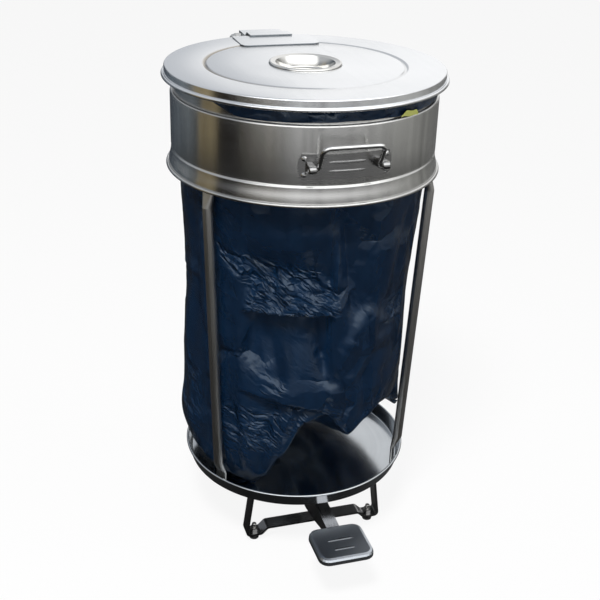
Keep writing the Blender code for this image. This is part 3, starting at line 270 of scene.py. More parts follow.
@dataclass(frozen=True)
class Steel:
    """A brushed or polished stainless finish.

    A ring radius in metres paints a dark reflection into a round groove, most of it at the left.
    Edges that don't face up can get painted shadow. What lies above a given level, in metres,
    gets painted shade that dims its highlights.
    """

    name: str
    colour: Colour = (0.66, 0.66, 0.65)
    tint: Colour = (0.52, 0.52, 0.51)
    roughness: float = 0.26
    spread: float = 0.14
    depth: float = 0.02
    grain: float = 0.6
    anisotropy: float = 0.0
    brushing: Brushing = Brushing.ROUND
    band_scale: Place = (0.7, 0.7, 0.09)
    cloud_scale: float = 9.0
    line_share: float = 0.25
    band_rough: float = 0.06
    cloud_share: float = 0.2
    cloud_rough: float = 0.04
    painted_ring_radius: float = 0.0
    painted_ring_reach: float = 0.02
    spot_and_painted_reflection: Colour = (0.30, 0.26, 0.20)
    painted_edge_shade: bool = False
    painted_shade_above: float = 0.0
    painted_shade_colour: Colour = (0.12, 0.13, 0.14)

    def painted_groove_reflection(self, graph: Graph, shade: Value) -> Value:
        """Paint a dark reflection into a round groove, more of it at the left.

        Args:
            graph: The material's graph.
            shade: Colour of the steel without the painted reflection.

        Returns:
            The colour with the painted reflection.
        """
        x, y, _ = graph.parts(graph.place())
        y = y - AXIS_Y
        off = graph.maths("ABSOLUTE", graph.length(x, y) - self.painted_ring_radius)
        ring = graph.steps(off / self.painted_ring_reach, [(0.05, 1.0), (0.22, 0.0)])
        # painted reflection, darkest towards the left
        side = graph.steps(0.5 - x / (2 * self.painted_ring_radius) + y, [(0.35, 0.12), (0.85, 0.9)])
        return graph.colours(ring * side, shade, self.spot_and_painted_reflection)

    def darkened(self, graph: Graph, shade: Value) -> Value:
        """Paint shade on edges that don't face up, or on what stands above a level.

        Args:
            graph: The material's graph.
            shade: Colour of the plain steel.

        Returns:
            The colour with the painted shade.
        """
        # painted shadow on every face that doesn't face up
        if self.painted_edge_shade:
            facing = graph.parts(graph.value("ShaderNodeTexCoord", output="Normal"))[2]
            mask = graph.steps(facing, [(0.1, 1.0), (0.4, 0.0)])
        else:
            # painted shade on what stands above the level, which dims its highlights
            level = graph.parts(graph.place())[2]
            mask = graph.steps((level - self.painted_shade_above) / MM, [(0.1, 0.0), (0.4, 1.0)])
        return graph.colours(mask, shade, self.painted_shade_colour)

    def along(self, graph: Graph) -> Value:
        """Find a place that changes fast across the brushing and slowly along it.

        Args:
            graph: The material's graph.

        Returns:
            The place, for a noise of scale 1.
        """
        place = graph.place()
        if self.brushing is not Brushing.ROUND:
            return graph.vector("MULTIPLY", place, self.brushing.value)
        x, y, z = graph.parts(place)
        y = y - AXIS_Y
        radius = graph.maths("MAXIMUM", graph.length(x, y), MM)
        return graph.joined(x / radius * ROUND_CHANGE, y / radius * ROUND_CHANGE,
                            (radius + z) * ACROSS)

    def material(self) -> bpy.types.Material:
        """Make the finish.

        Returns:
            The material.
        """
        material, graph = new_graph(self.name)
        way = self.along(graph)
        lines = graph.noise(way, 1.0, 3.0, 0.6)
        bands = graph.noise(graph.vector("MULTIPLY", way, self.band_scale), 1.0)
        smudge = graph.noise(graph.place(), self.cloud_scale, 3.0, 0.55)
        cloud = graph.steps(smudge, [(0.40, 0.0), (0.70, 1.0)])
        worn = (lines * (self.line_share * self.grain)
                + bands * ((1 - self.line_share) * self.grain) + cloud * self.cloud_share)
        shade = graph.colours(worn, self.colour, self.tint)
        # painted reflection: a dark ring in a round groove, most of it at the left
        if self.painted_ring_radius:
            shade = self.painted_groove_reflection(graph, shade)
        # painted shade: on edges that don't face up, or on what stands above a level
        if self.painted_edge_shade or self.painted_shade_above:
            shade = self.darkened(graph, shade)
        rough = (self.roughness + (lines - 0.5) * self.spread + (bands - 0.5) * self.band_rough
                 + cloud * self.cloud_rough)
        graph.surface({
            "Base Color": shade, "Metallic": 1.0, "Roughness": rough,
            "Anisotropic": self.anisotropy, "Anisotropic Rotation": BRUSH_TURN,
            "Normal": graph.bump(lines, self.depth)})
        return material


@dataclass(frozen=True)
class Zinc:
    """A dull plated finish with a faint crystal pattern."""

    name: str = "zinc_plate"
    colour: Colour = (0.50, 0.51, 0.52)
    spot_and_painted_reflection: Colour = (0.40, 0.39, 0.36)
    roughness: float = 0.36
    spread: float = 0.2
    depth: float = 0.15
    crystals: float = 420.0
    crystal_share: float = 0.45
    grain: float = 260.0
    grain_share: float = 0.55

    def material(self) -> bpy.types.Material:
        """Make the finish.

        Returns:
            The material.
        """
        material, graph = new_graph(self.name)
        place = graph.place()
        cells = graph.value("ShaderNodeTexVoronoi", None,
                            {"Vector": place, "Scale": self.crystals}, "Color")
        grain = graph.noise(place, self.grain, 3.0)
        spots = graph.parts(cells)[0] * self.crystal_share + grain * self.grain_share
        graph.surface({
            "Base Color": graph.colours(spots, self.colour, self.spot_and_painted_reflection), "Metallic": 1.0,
            "Roughness": self.roughness + (spots - 0.5) * self.spread,
            "Normal": graph.bump(spots, self.depth)})
        return material


@dataclass(frozen=True)
class Rubber:
    """Black moulded rubber with a little dust."""

    name: str = "moulded_rubber"
    colour: Colour = (0.014, 0.014, 0.015)
    dust: Colour = (0.060, 0.058, 0.054)
    roughness: float = 0.62
    depth: float = 0.25
    height: float = 0.0004
    grain: float = 900.0
    dust_scale: float = 70.0
    dust_share: float = 0.6
    dust_rough: float = 0.2

    def material(self) -> bpy.types.Material:
        """Make the finish.

        Returns:
            The material.
        """
        material, graph = new_graph(self.name)
        place = graph.place()
        grain = graph.noise(place, self.grain)
        dust = graph.steps(graph.noise(place, self.dust_scale, 4.0, 0.6),
                           [(0.45, 0.0), (0.75, 1.0)])
        graph.surface({
            "Base Color": graph.colours(dust * self.dust_share, self.colour, self.dust),
            "Roughness": self.roughness + dust * self.dust_rough,
            "Normal": graph.bump(grain, self.depth, self.height)})
        return material


@dataclass(frozen=True)
class Film:
    """Thin crinkled plastic film.

    Bearings are in degrees from the front and levels in millimetres. An edge is a bearing, the
    level there and the slope, and its soft values are where it starts and ends to show. A crinkled
    patch is a bearing, a level, a reach and a strength; the film is painted paler there as painted
    sheen. Facets are a number per metre and a slope.
    """

    name: str = "sack_film"
    colour: Colour = (0.0022, 0.0085, 0.023)
    # paler film, used for painted sheen in the crinkled patches and for tone that varies at random
    pale: Colour = (0.005, 0.028, 0.076)
    sheen: Colour = (0.80, 0.92, 1.0)
    roughness: float = 0.21
    reach: float = 180.0
    crease: float = 447.0
    crease_soft: float = 2.0
    top_edge: Place = (-9.0, 522.0, -0.53)
    top_soft: Point = (-8.0, 10.0)
    left_edge: Place = (-62.0, 543.0, -2.8)
    left_soft: Point = (-10.0, 10.0)
    left_full: Point = (-46.0, -43.0)
    left_end: Point = (-72.0, -58.0)
    right_edge: float = 6.0
    right_lean: float = 0.1
    right_soft: Point = (0.0, 6.0)
    plain: float = 0.03
    spot_scale: float = 14.0
    panels: Point = (9.0, 0.12)
    large: Point = (22.0, 0.30)
    small: Point = (74.0, 0.42)
    facet_edge: float = 0.16
    warp: float = 0.05
    warp_scale: float = 12.0
    lean: float = 0.6
    squash: float = 2.0
    stretch: Place = (45.0, 45.0, 4.0)
    stretch_shade: float = 0.6
    stretch_rough: float = 0.08
    patch_painted_sheen: float = 0.2
    patch_gloss: float = 0.05
    crinkled: tuple[tuple[float, float, float, float], ...] = (
        (-44.0, 352.0, 30.0, 0.12), (-30.0, 318.0, 20.0, 0.3), (-50.0, 220.0, 38.0, 0.55),
        (-33.0, 230.0, 34.0, 0.6), (-18.0, 246.0, 22.0, 0.45), (40.0, 420.0, 20.0, 0.6),
        (3.0, 268.0, 22.0, 0.5), (30.0, 268.0, 22.0, 0.5), (-96.0, 250.0, 60.0, 0.6),
        (120.0, 430.0, 80.0, 0.6), (-140.0, 380.0, 80.0, 0.6), (170.0, 300.0, 80.0, 0.6),
        (95.0, 260.0, 50.0, 0.7))

    @staticmethod
    def edge(line: Place, bearing: Value) -> Value:
        """Return the level of a sloping edge at a bearing."""
        start, level, slope = line
        return level + slope * (bearing - start)

    def triangle(self, graph: Graph, place: Value) -> Value:
        """Find the large crinkled triangle above the level crease.

        Args:
            graph: The material's graph.
            place: Place on the film, in metres.

        Returns:
            1 inside the triangle and 0 outside it.
        """
        x, y, z = graph.parts(place)
        bearing = graph.maths("ARCTAN2", x, AXIS_Y - y) * (180 / pi)
        level = z / MM
        mask = graph.ramp(level, self.crease - self.crease_soft, self.crease + self.crease_soft)
        mask = mask * graph.ramp(self.edge(self.top_edge, bearing) - level, *self.top_soft)
        inside = graph.maths(
            "MAXIMUM", graph.ramp(level - self.edge(self.left_edge, bearing), *self.left_soft),
            graph.ramp(bearing, *self.left_full))
        mask = mask * inside * graph.ramp(bearing, *self.left_end)
        right = self.right_edge - bearing - (level - self.crease) * self.right_lean
        return mask * graph.ramp(right, *self.right_soft)

    def patches(self, graph: Graph, place: Value) -> Value:
        """Find how strongly the film is crinkled.

        Args:
            graph: The material's graph.
            place: Place on the film, in metres.

        Returns:
            A number from 0 to 1.
        """
        total = self.plain
        for bearing, level, reach, share in self.crinkled:
            centre = around(self.reach, bearing, level) * MM + Vector((0, AXIS_Y, 0))
            away = graph.vector("DISTANCE", place, tuple(centre), "Value")
            total = total + graph.steps(away / (2 * reach * MM), [(0.1, share), (0.8, 0.0)])
        spots = graph.steps(graph.noise(place, self.spot_scale, 3.0), [(0.34, 0.35), (0.56, 1.0)])
        return graph.maths("MINIMUM", (total + self.triangle(graph, place)) * spots, 1.0)

    def facets(self, graph: Graph, place: Value, scale: float, slope: float) -> Value:
        """Cover the film with flat facets that lean at random.

        Args:
            graph: The material's graph.
            place: Place on the film, in metres.
            scale: Facets per metre.
            slope: Steepest slope of a facet.

        Returns:
            The height of the facets in metres.
        """
        inputs = {"Vector": place, "Scale": scale}
        cells = graph.node("ShaderNodeTexVoronoi", None, inputs)
        edge = graph.value("ShaderNodeTexVoronoi", {"feature": "DISTANCE_TO_EDGE"}, inputs)
        lean = graph.vector("SUBTRACT", Value(graph, cells.outputs["Color"]), (0.5, 0.5, 0.5))
        away = graph.vector("SUBTRACT", place, Value(graph, cells.outputs["Position"]))
        height = graph.vector("DOT_PRODUCT", lean, away, "Value")
        return height * (2 * slope) * graph.steps(edge, [(0.0, 0.0), (self.facet_edge, 1.0)])

    def material(self) -> bpy.types.Material:
        """Make the finish.

        Returns:
            The material.
        """
        material, graph = new_graph(self.name)
        place = graph.place()
        wave = graph.value("ShaderNodeTexNoise", None,
                           {"Vector": place, "Scale": self.warp_scale, "Detail": 3.0}, "Color")
        bent = graph.vector("ADD", place, graph.vector("MULTIPLY", wave, (self.warp,) * 3))
        patches = self.patches(graph, place)
        x, y, z = graph.parts(bent)
        slant = graph.joined(x, y, (z + x * self.lean) * self.squash)
        panels = self.facets(graph, bent, *self.panels)
        large = self.facets(graph, slant, *self.large)
        small = self.facets(graph, slant, *self.small)
        stretch = graph.noise(graph.vector("MULTIPLY", place, self.stretch), 1.0)
        # painted sheen: the crinkled patches make the film paler; the stretch marks vary its tone
        # at random
        shade = patches * self.patch_painted_sheen + stretch * self.stretch_shade
        rough = self.roughness + stretch * self.stretch_rough - patches * self.patch_gloss
        graph.surface({
            "Base Color": graph.colours(shade, self.colour, self.pale), "Roughness": rough,
            "Specular IOR Level": 0.5, "Specular Tint": (*self.sheen, 1.0),
            "Normal": graph.bump(panels + (large + small) * patches, 1.0, 1.0)})
        return material


@dataclass(frozen=True)
class Tape:
    """Pale yellow-green draw tape."""

    name: str = "draw_tape"
    colour: Colour = (0.46, 0.50, 0.05)
    worn: Colour = (0.60, 0.62, 0.20)
    roughness: float = 0.35
    spread: float = 0.2
    threads: Place = (90.0, 90.0, 900.0)

    def material(self) -> bpy.types.Material:
        """Make the finish.

        Returns:
            The material.
        """
        material, graph = new_graph(self.name)
        fine = graph.noise(graph.vector("MULTIPLY", graph.place(), self.threads), 1.0)
        graph.surface({
            "Base Color": graph.colours(fine, self.colour, self.worn),
            "Roughness": self.roughness + fine * self.spread,
            "Normal": graph.bump(fine, self.spread)})
        return material


def finished(name: str, shape: bmesh.types.BMesh, material: bpy.types.Material, body: str,
             sharp: float = 35.0) -> bpy.types.Object:
    """Turn a shape in millimetres about the drum's axis into a piece.

    Args:
        name: Name of the piece.
        shape: Shape in millimetres, which is freed.
        material: Finish of the piece.
        body: Body that the piece rides on.
        sharp: Angle in degrees above which an edge stays sharp.

    Returns:
        The piece, which rides on its body.
    """
    bmesh.ops.scale(shape, verts=shape.verts, vec=(MM, MM, MM))
    bmesh.ops.translate(shape, verts=shape.verts, vec=(0, AXIS_Y, 0))
    mesh = bpy.data.meshes.new(name)
    shape.to_mesh(mesh)
    shape.free()
    mesh.shade_smooth()
    mesh.set_sharp_from_angle(angle=radians(sharp))
    mesh.materials.append(material)
    piece = bpy.data.objects.new(name, mesh)
    bpy.context.scene.collection.objects.link(piece)
    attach(piece, body)
    log.info("%s: %d faces on %s", name, len(mesh.polygons), body)
    return piece


def skinned(loops: list[Loop], wrap: bool = False, ring: bool = True) -> bmesh.types.BMesh:
    """Draw a skin through rows of points.

    Args:
        loops: Rows with the same number of points.
        wrap: Whether the last row is joined to the first.
        ring: Whether each row is a closed ring.

    Returns:
        The skin.
    """
    shape = bmesh.new()
    rows = [[shape.verts.new(point) for point in loop] for loop in loops]
    pairs = list(zip(rows, rows[1:]))
    if wrap:
        pairs.append((rows[-1], rows[0]))
    for upper, lower in pairs:
        count = len(upper)
        for i in range(count if ring else count - 1):
            j = (i + 1) % count
            shape.faces.new((upper[i], lower[i], lower[j], upper[j]))
    return shape


def spun(profile: list[Point], sides: int = 192) -> bmesh.types.BMesh:
    """Spin a section about the upright axis.

    Args:
        profile: Points of the section, each a radius and a level.
        sides: Number of sides round the axis.

    Returns:
        A round shell, closed unless the section meets the axis.
    """
    closed = profile[0][0] > 0 and profile[-1][0] > 0
    loops = []
    for radius, level in profile:
        reach = max(radius, WELD / 10)
        loops.append([Vector((reach * cos(a), reach * sin(a), level)) for a in turns(sides)])
    shape = skinned(loops, wrap=closed)
    bmesh.ops.remove_doubles(shape, verts=shape.verts, dist=WELD)
    bmesh.ops.recalc_face_normals(shape, faces=shape.faces)
    return shape


def arc(centre: Point, radius: float, first: float, last: float, steps: int) -> list[Point]:
    """Return points along an arc given by angles in degrees."""
    angles = [radians(mixed(first, last, i / steps)) for i in range(steps + 1)]
    return [(centre[0] + radius * cos(a), centre[1] + radius * sin(a)) for a in angles]


def rolled(wall: float, sheet: float, roll: float, middle: float, up: bool) -> list[Point]:
    """Roll the edge of a wall outwards.

    Args:
        wall: Radius of the wall's outside.
        sheet: Thickness of the sheet.
        roll: Radius of the roll.
        middle: Level of the roll's middle.
        up: Whether the edge is the wall's upper one.

    Returns:
        Points of the section from the wall's outside to its inside.
    """
    steps = 16
    centre = wall - sheet + roll
    start = acos((sheet - roll) / roll)
    side = 1 if up else -1
    angles = [mixed(-start, pi, i / steps) for i in range(steps + 1)]
    return [(centre + roll * cos(a), middle + side * roll * sin(a)) for a in angles]


def pressed(level: float, half: float, depth: float, steps: int = 12) -> list[Point]:
    """Return (offset, depth) points of a pressed groove about a level, from high to low."""
    return [(level + half * (1 - 2 * i / steps), depth * 0.5 * (1 - cos(2 * pi * i / steps)))
            for i in range(steps + 1)]


@dataclass
class Tray:
    """The round tray that the sack's corner lies on."""

    radius: float = 187.0
    flare: float = 3.6
    base: float = 101.0
    height: float = 25.0
    sheet: float = 1.2
    roll: float = 2.3
    corner: float = 4.0
    finish: Steel = Steel("tray_steel", colour=(0.56, 0.59, 0.62), tint=(0.42, 0.44, 0.46),
                          roughness=0.16, spread=0.06, depth=0.01, anisotropy=0.5)

    def profile(self) -> list[Point]:
        """Draw the tray's section.

        Returns:
            Points from the middle of the underside to the middle of the floor.
        """
        centre = (self.radius - self.corner, self.base + self.corner)
        rim = rolled(self.radius + self.flare, self.sheet, self.roll,
                     self.base + self.height - self.roll, True)
        outside = arc(centre, self.corner, -90, 0, 8)
        inside = arc(centre, self.corner - self.sheet, 0, -90, 8)
        floor = self.base + self.sheet
        rings = [(self.radius * share, floor) for share in (0.75, 0.5, 0.25)]
        under = [(0, self.base), (self.radius * 0.5, self.base)]
        return under + outside + rim + inside + rings + [(0, floor)]

    def build(self) -> bpy.types.Object:
        """Build and dress the tray."""
        piece = finished("tray_shell", spun(self.profile()), self.finish.material(), "frame")
        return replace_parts(piece, "tray")


@dataclass
class Drum:
    """The short drum with a groove, a shoulder and a neck."""

    radius: float = 209.0
    sheet: float = 1.0
    base: float = 638.3
    roll: float = 2.7
    flare: float = 3.6
    step: float = 20.0
    step_rows: int = 6
    groove: float = 670.0
    groove_half: float = 4.0
    groove_depth: float = 2.2
    groove_rest: float = 0.5
    shoulder: float = 758.0
    shoulder_turn: float = 84.0
    bend: float = 4.0
    neck: float = 203.0
    neck_top: float = 793.2
    finish: Steel = Steel("drum_steel", roughness=0.22, spread=0.04, depth=0.004, grain=0.3,
                          anisotropy=0.85)

    def side(self, inset: float) -> list[Point]:
        """Draw one face of the wall.

        Args:
            inset: How far the face lies inside the outer one.

        Returns:
            Points from the neck to the flare.
        """
        points = [(self.neck - inset, self.neck_top), (self.neck - inset, self.shoulder - inset)]
        centre = (self.radius - self.bend, self.shoulder - self.bend)
        points += arc(centre, self.bend - inset, self.shoulder_turn, 0, 8)
        points += [(self.radius - inset - deep, level) for level, deep in
                   pressed(self.groove, self.groove_half, self.groove_depth)]
        start = self.groove - self.groove_half - self.groove_rest
        for i in range(self.step_rows + 1):
            share = i / self.step_rows
            points.append((self.radius - inset + self.flare * smooth(0.0, 1.0, share),
                           start - self.step * share))
        return points

    def build(self) -> bpy.types.Object:
        """Build and dress the drum.

        Returns:
            The drum.
        """
        rim = rolled(self.radius + self.flare, self.sheet, self.roll, self.base + self.roll, False)
        profile = self.side(0) + rim + self.side(self.sheet)[::-1]
        piece = finished("drum_shell", spun(profile), self.finish.material(), "frame")
        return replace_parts(piece, "drum")


@dataclass
class Lid:
    """The flat lid with a rolled edge, and the grip cup sunk in it."""

    radius: float = 217.5
    top: float = 796.0
    sheet: float = 1.0
    height: float = 17.0
    roll: float = 2.75
    corner: float = 2.5
    groove: float = 155.0
    groove_half: float = 4.5
    groove_depth: float = 2.2
    hole: float = 50.7
    lip_radius: float = 57.0
    lip_height: float = 3.0
    lip_turn: float = 110.0
    mouth: float = 46.5
    floor: float = 42.0
    depth: float = 17.0
    seat: float = 0.3
    wall: float = 1.2
    cup_sides: int = 128
    # the lid's finish paints a dark reflection into the pressed groove, most of it at the left
    finish: Steel = Steel("lid_steel", colour=(0.95, 0.96, 0.98), tint=(0.84, 0.86, 0.88),
                          roughness=0.20, spread=0.05, depth=0.003, grain=0.8, anisotropy=0.5,
                          brushing=Brushing.ALONG_Y, painted_ring_radius=0.1555)
    cup_finish: Steel = Steel("cup_steel", colour=(0.80, 0.80, 0.79), tint=(0.64, 0.62, 0.58),
                              roughness=0.14, spread=0.05, depth=0.004)

    def plate(self) -> list[Point]:
        """Draw the lid's section.

        Returns:
            Points from the hole's upper edge round the rim to its lower edge.
        """
        under = self.top - self.sheet
        dips = pressed(self.groove, self.groove_half, self.groove_depth)
        centre = (self.radius - self.corner, self.top - self.corner)
        points = [(self.hole, self.top), (self.hole * 2, self.top)]
        points += [(r, self.top - deep) for r, deep in dips[::-1]]
        points += arc(centre, self.corner, 90, 0, 8)
        points += rolled(self.radius, self.sheet, self.roll, self.top - self.height + self.roll,
                         False)
        points += arc(centre, self.corner - self.sheet, 0, 90, 8)
        return points + [(r, under - deep) for r, deep in dips] + [(self.hole, under)]

    def cup(self) -> list[Point]:
        """Draw the grip cup's section.

        Returns:
            Points from the middle of the underside over the lip to the middle of the floor.
        """
        base = self.top - self.depth
        seat = self.top + self.seat
        under = self.top - self.sheet
        bend = self.lip_height
        outer = self.mouth + self.wall
        points = [(0, base), (self.floor - bend, base), (self.floor, base + bend / 2),
                  (outer - bend / 2, under - bend / 2), (outer, seat), (self.lip_radius, seat)]
        points += arc((self.lip_radius - bend, seat), bend, 0, self.lip_turn, 14)
        inner = self.floor - self.wall
        points += [(self.mouth, seat + bend * 0.55), (self.mouth - bend / 2, under)]
        points += arc((inner - bend, base + self.wall + bend), bend, 0, -90, 8)
        return points + [(inner * 0.5, base + self.wall), (0, base + self.wall)]

    def build(self) -> list[bpy.types.Object]:
        """Build and dress the lid and its cup.

        Returns:
            The lid and the cup.
        """
        lid = finished("lid_shell", spun(self.plate()), self.finish.material(), "lid")
        cup = finished("grip_cup_shell", spun(self.cup(), self.cup_sides),
                       self.cup_finish.material(), "lid")
        return [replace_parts(lid, "lid"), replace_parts(cup, "grip_cup")]


@dataclass(frozen=True)
class Ledge:
    """A level fold where the film above laps over the film below it.

    It lies at a level at its left end and slopes from there, in millimetres per degree. The film
    leans out towards it from a height above, and is drawn back over a height under it.
    """

    level: float
    slope: float
    left: float
    right: float
    fade: float
    above: float
    depth: float
    under: float
    stand_out: float = 0.2
    lip: float = 5.0
    lift: float = 2.6
    right_fade: float = 0.3

    def push(self, bearing: float, level: float) -> float:
        """Find how far the film is drawn in at a place.

        Args:
            bearing: Bearing in degrees from the front.
            level: Level in millimetres.

        Returns:
            The distance in millimetres.
        """
        reach = smooth(self.left - self.fade, self.left, bearing)
        reach *= 1 - smooth(self.right, self.right + self.fade * self.right_fade, bearing)
        reach *= self.depth
        rise = level - self.level - self.slope * (bearing - self.left)
        if rise >= self.above:
            past = smooth(self.above, self.lift * self.above, rise)
            return (1 - self.stand_out) * reach * (1 - past)
        if rise >= 0:
            return reach * (rise / self.above - self.stand_out)
        return reach * (smooth(0.0, self.lip, -rise) - self.stand_out) * exp(rise / self.under)


@dataclass(frozen=True)
class Fold:
    """A sharp fold between two places, each a bearing and a level, that draws the film in."""

    first: Point
    last: Point
    depth: float
    left: float
    right: float
    arc: float = 3.2
    opens: Point = (-0.2, 0.1)
    closes: Point = (0.9, 1.2)

    def push(self, bearing: float, level: float) -> float:
        """Find how far the film is drawn in at a place.

        Args:
            bearing: Bearing in degrees from the front.
            level: Level in millimetres.

        Returns:
            The distance in millimetres.
        """
        along_x = self.arc * (self.last[0] - self.first[0])
        along_z = self.last[1] - self.first[1]
        x = self.arc * (bearing - self.first[0])
        z = level - self.first[1]
        length = sqrt(along_x ** 2 + along_z ** 2)
        across = (along_x * z - along_z * x) / length
        near = 1 - abs(across) / (self.left if across > 0 else self.right)
        if near <= 0:
            return 0.0
        share = (x * along_x + z * along_z) / length ** 2
        return self.depth * near * smooth(*self.opens, share) * (1 - smooth(*self.closes, share))


@dataclass
class Sack:
    """The film sack, turned over the drum's neck and hanging down to the tray.

    The foot is the sack's lower fold, each entry a bearing, a level and a radius.
    """

    sides: int = 320
    hem_rows: int = 8
    wall_rows: int = 160
    base_rows: int = 26
    floor: float = 103.8
    neck_in: float = 201.0
    neck_out: float = 204.0
    neck_top: float = 794.4
    neck_round: float = 1.2
    neck_angles: Place = (40.0, 90.0, 140.0)
    neck_drop: float = 3.0
    neck_room: float = 3.0
    hem: float = 760.0
    hem_lift: float = 15.0
    hem_gap: float = 0.8
    hem_bulge: float = 3.4
    hem_wave: float = 2.4
    hem_low: float = -0.4
    pleat_round: float = 5.0
    pleat_up: float = 1.2
    pleat_scales: Point = (2.1, 4.7)
    lift_left: Point = (-44.0, -60.0)
    lift_right: Point = (95.0, 130.0)
    drum_base: float = 638.3
    drum_inside: Point = (640.0, 752.0)
    tubes: tuple[float, ...] = (-60.0, 60.0, 180.0)
    tube_half: float = 5.0
    tube_low: float = 186.7
    tube_high: float = 206.2
    tube_foot: float = 148.3
    tube_top: float = 616.0
    tube_room: float = 10.5
    rim_room: float = 184.5
    rim_top: float = 126.3
    room_slope: float = 1.8
    lip: float = 10.0
    waist: float = 6.0
    waist_low: float = 252.0
    swell: float = 18.0
    swell_bearing: float = -107.0
    swell_width: float = 26.0
    slump: float = 12.0
    slump_low: float = 170.0
    foot_reach: float = 110.0
    foot_turn: float = 2.6
    foot_ease: float = 30.0
    foot_calm: float = 0.75
    left_tip: float = -46.0
    right_tip: float = 76.0
    seam_back: float = 90.0
    seam_rise: float = 14.0
    sag: float = 7.0
    sag_wave: float = 3.0
    noise_round: float = 2.6
    noise_up: float = 0.0135
    broad_scale: float = 0.7
    broad_pull: float = 1.6
    facet_scale: float = 1.15
    facet_shift: Place = (3.1, 0.0, 7.7)
    facet_limit: float = 0.55
    facet_pull: float = 3.4
    fine_scales: Point = (5.1, 11.3)
    fine_limit: float = 0.8
    patch_scale: float = 0.9
    patch_shift: Place = (9.0, 2.0, 4.0)
    patch_soft: Point = (-0.05, 0.35)
    soft_levels: Point = (700.0, 560.0)
    crumple_levels: Point = (690.0, 740.0)
    finish: Film = Film()
    ledges: tuple[Ledge, ...] = (
        Ledge(446.0, 0.05, -43.0, -1.0, 6.0, 54.0, 20.0, 80.0),
        Ledge(301.0, -0.65, -42.0, -2.0, 8.0, 110.0, 12.0, 46.0),
        Ledge(416.0, -0.4, 31.0, 49.0, 6.0, 24.0, 6.0, 40.0),
        Ledge(470.0, 0.1, -98.0, -76.0, 10.0, 50.0, 4.0, 80.0))
    folds: tuple[Fold, ...] = (
        Fold((3.0, 612.0), (12.0, 446.0), 15.0, 40.0, 26.0),
        Fold((-62.0, 551.0), (-32.0, 520.0), 5.0, 60.0, 30.0),
        Fold((-32.0, 520.0), (-7.0, 521.0), 5.0, 60.0, 30.0),
        Fold((0.0, 335.0), (9.0, 395.0), -6.0, 14.0, 60.0),
        Fold((9.0, 395.0), (20.0, 446.0), -6.0, 14.0, 60.0),
        Fold((-32.0, 400.0), (-26.0, 326.0), 5.0, 18.0, 20.0),
        Fold((-9.0, 432.0), (-4.0, 376.0), 6.0, 12.0, 18.0),
        Fold((-4.0, 376.0), (3.0, 326.0), 6.0, 12.0, 18.0),
        Fold((-44.0, 292.0), (-40.0, 125.0), -4.0, 24.0, 24.0),
        Fold((-29.0, 285.0), (-38.0, 150.0), 6.0, 14.0, 20.0),
        Fold((-20.0, 265.0), (-31.0, 170.0), -4.0, 14.0, 16.0),
        Fold((-53.0, 275.0), (-50.0, 150.0), 5.0, 16.0, 14.0),
        Fold((28.0, 600.0), (31.0, 455.0), -3.0, 28.0, 24.0),
        Fold((41.0, 600.0), (38.0, 470.0), 4.0, 18.0, 20.0),
        Fold((2.0, 302.0), (14.0, 224.0), -5.0, 16.0, 20.0),
        Fold((20.0, 335.0), (24.0, 244.0), 5.0, 16.0, 18.0),
        Fold((33.0, 305.0), (36.0, 256.0), -3.0, 14.0, 14.0),
        Fold((-78.0, 612.0), (-81.0, 400.0), 5.0, 16.0, 24.0),
        Fold((-92.0, 400.0), (-86.0, 180.0), -4.0, 24.0, 30.0),
        Fold((84.0, 610.0), (92.0, 330.0), 6.0, 24.0, 30.0),
        Fold((128.0, 600.0), (112.0, 260.0), -5.0, 40.0, 26.0),
        Fold((-130.0, 600.0), (-146.0, 240.0), 7.0, 30.0, 34.0),
        Fold((150.0, 470.0), (196.0, 430.0), 6.0, 60.0, 24.0))
    foot: tuple[Place, ...] = (
        (-180.0, 122.0, 150.0), (-140.0, 118.0, 164.0), (-105.0, 131.0, 186.0),
        (-75.0, 117.0, 170.0), (-46.0, 105.0, 153.0), (-36.0, 128.0, 160.0),
        (-25.0, 178.0, 166.0), (-12.0, 248.0, 174.0), (0.0, 262.0, 174.0),
        (14.0, 213.0, 172.0), (26.0, 232.0, 172.0), (38.0, 246.0, 172.0),
        (62.0, 234.0, 171.0), (76.0, 192.0, 186.0), (92.0, 196.0, 176.0),
        (112.0, 170.0, 168.0), (145.0, 133.0, 160.0), (180.0, 122.0, 150.0))

    def foot_at(self, bearing: float) -> Point:
        """Find the sack's lower fold at a bearing.

        Args:
            bearing: Bearing in degrees from the front, from -180 to 180.

        Returns:
            The fold's level and radius.
        """
        for (a, low, near), (b, high, far) in zip(self.foot, self.foot[1:]):
            if a <= bearing <= b:
                share = smooth(a, b, bearing) * 0.7 + 0.3 * (bearing - a) / (b - a)
                return mixed(low, high, share), mixed(near, far, share)
        return self.foot[-1][1:]

    def free(self, level: float) -> float:
        """Return the radius that stays clear of the upright tubes at a level."""
        share = (level - self.tube_foot) / (self.tube_top - self.tube_foot)
        return min(mixed(self.tube_low, self.tube_high, share) - self.tube_room,
                   self.neck_in - self.neck_room)

    def wall(self, bearing: float, level: float) -> float:
        """Find the radius of the plain hanging wall.

        Args:
            bearing: Bearing in degrees from the front.
            level: Level in millimetres.

        Returns:
            The radius in millimetres.
        """
        low, near = self.foot_at(bearing)
        span = (level - self.waist_low) / (self.drum_base - self.waist_low)
        radius = self.free(level) - self.waist * sin(pi * min(1.0, max(0.0, span))) ** 2
        off = (bearing - self.swell_bearing) / self.swell_width
        lean = self.swell * max(0.0, 1.0 - max(0.0, span))
        lean += self.slump * smooth(self.waist_low, self.slump_low, level)
        radius += lean * exp(-off * off)
        share = min(1.0, max(0.0, 1 - (level - low) / self.foot_reach))
        rise = min(self.lip, max(0.0, level - low))
        turned = self.lip - sqrt(self.lip ** 2 - (self.lip - rise) ** 2)
        radius = mixed(radius, near, share ** self.foot_turn) - turned
        return min(radius, self.rim_room + self.room_slope * max(0.0, level - self.rim_top))

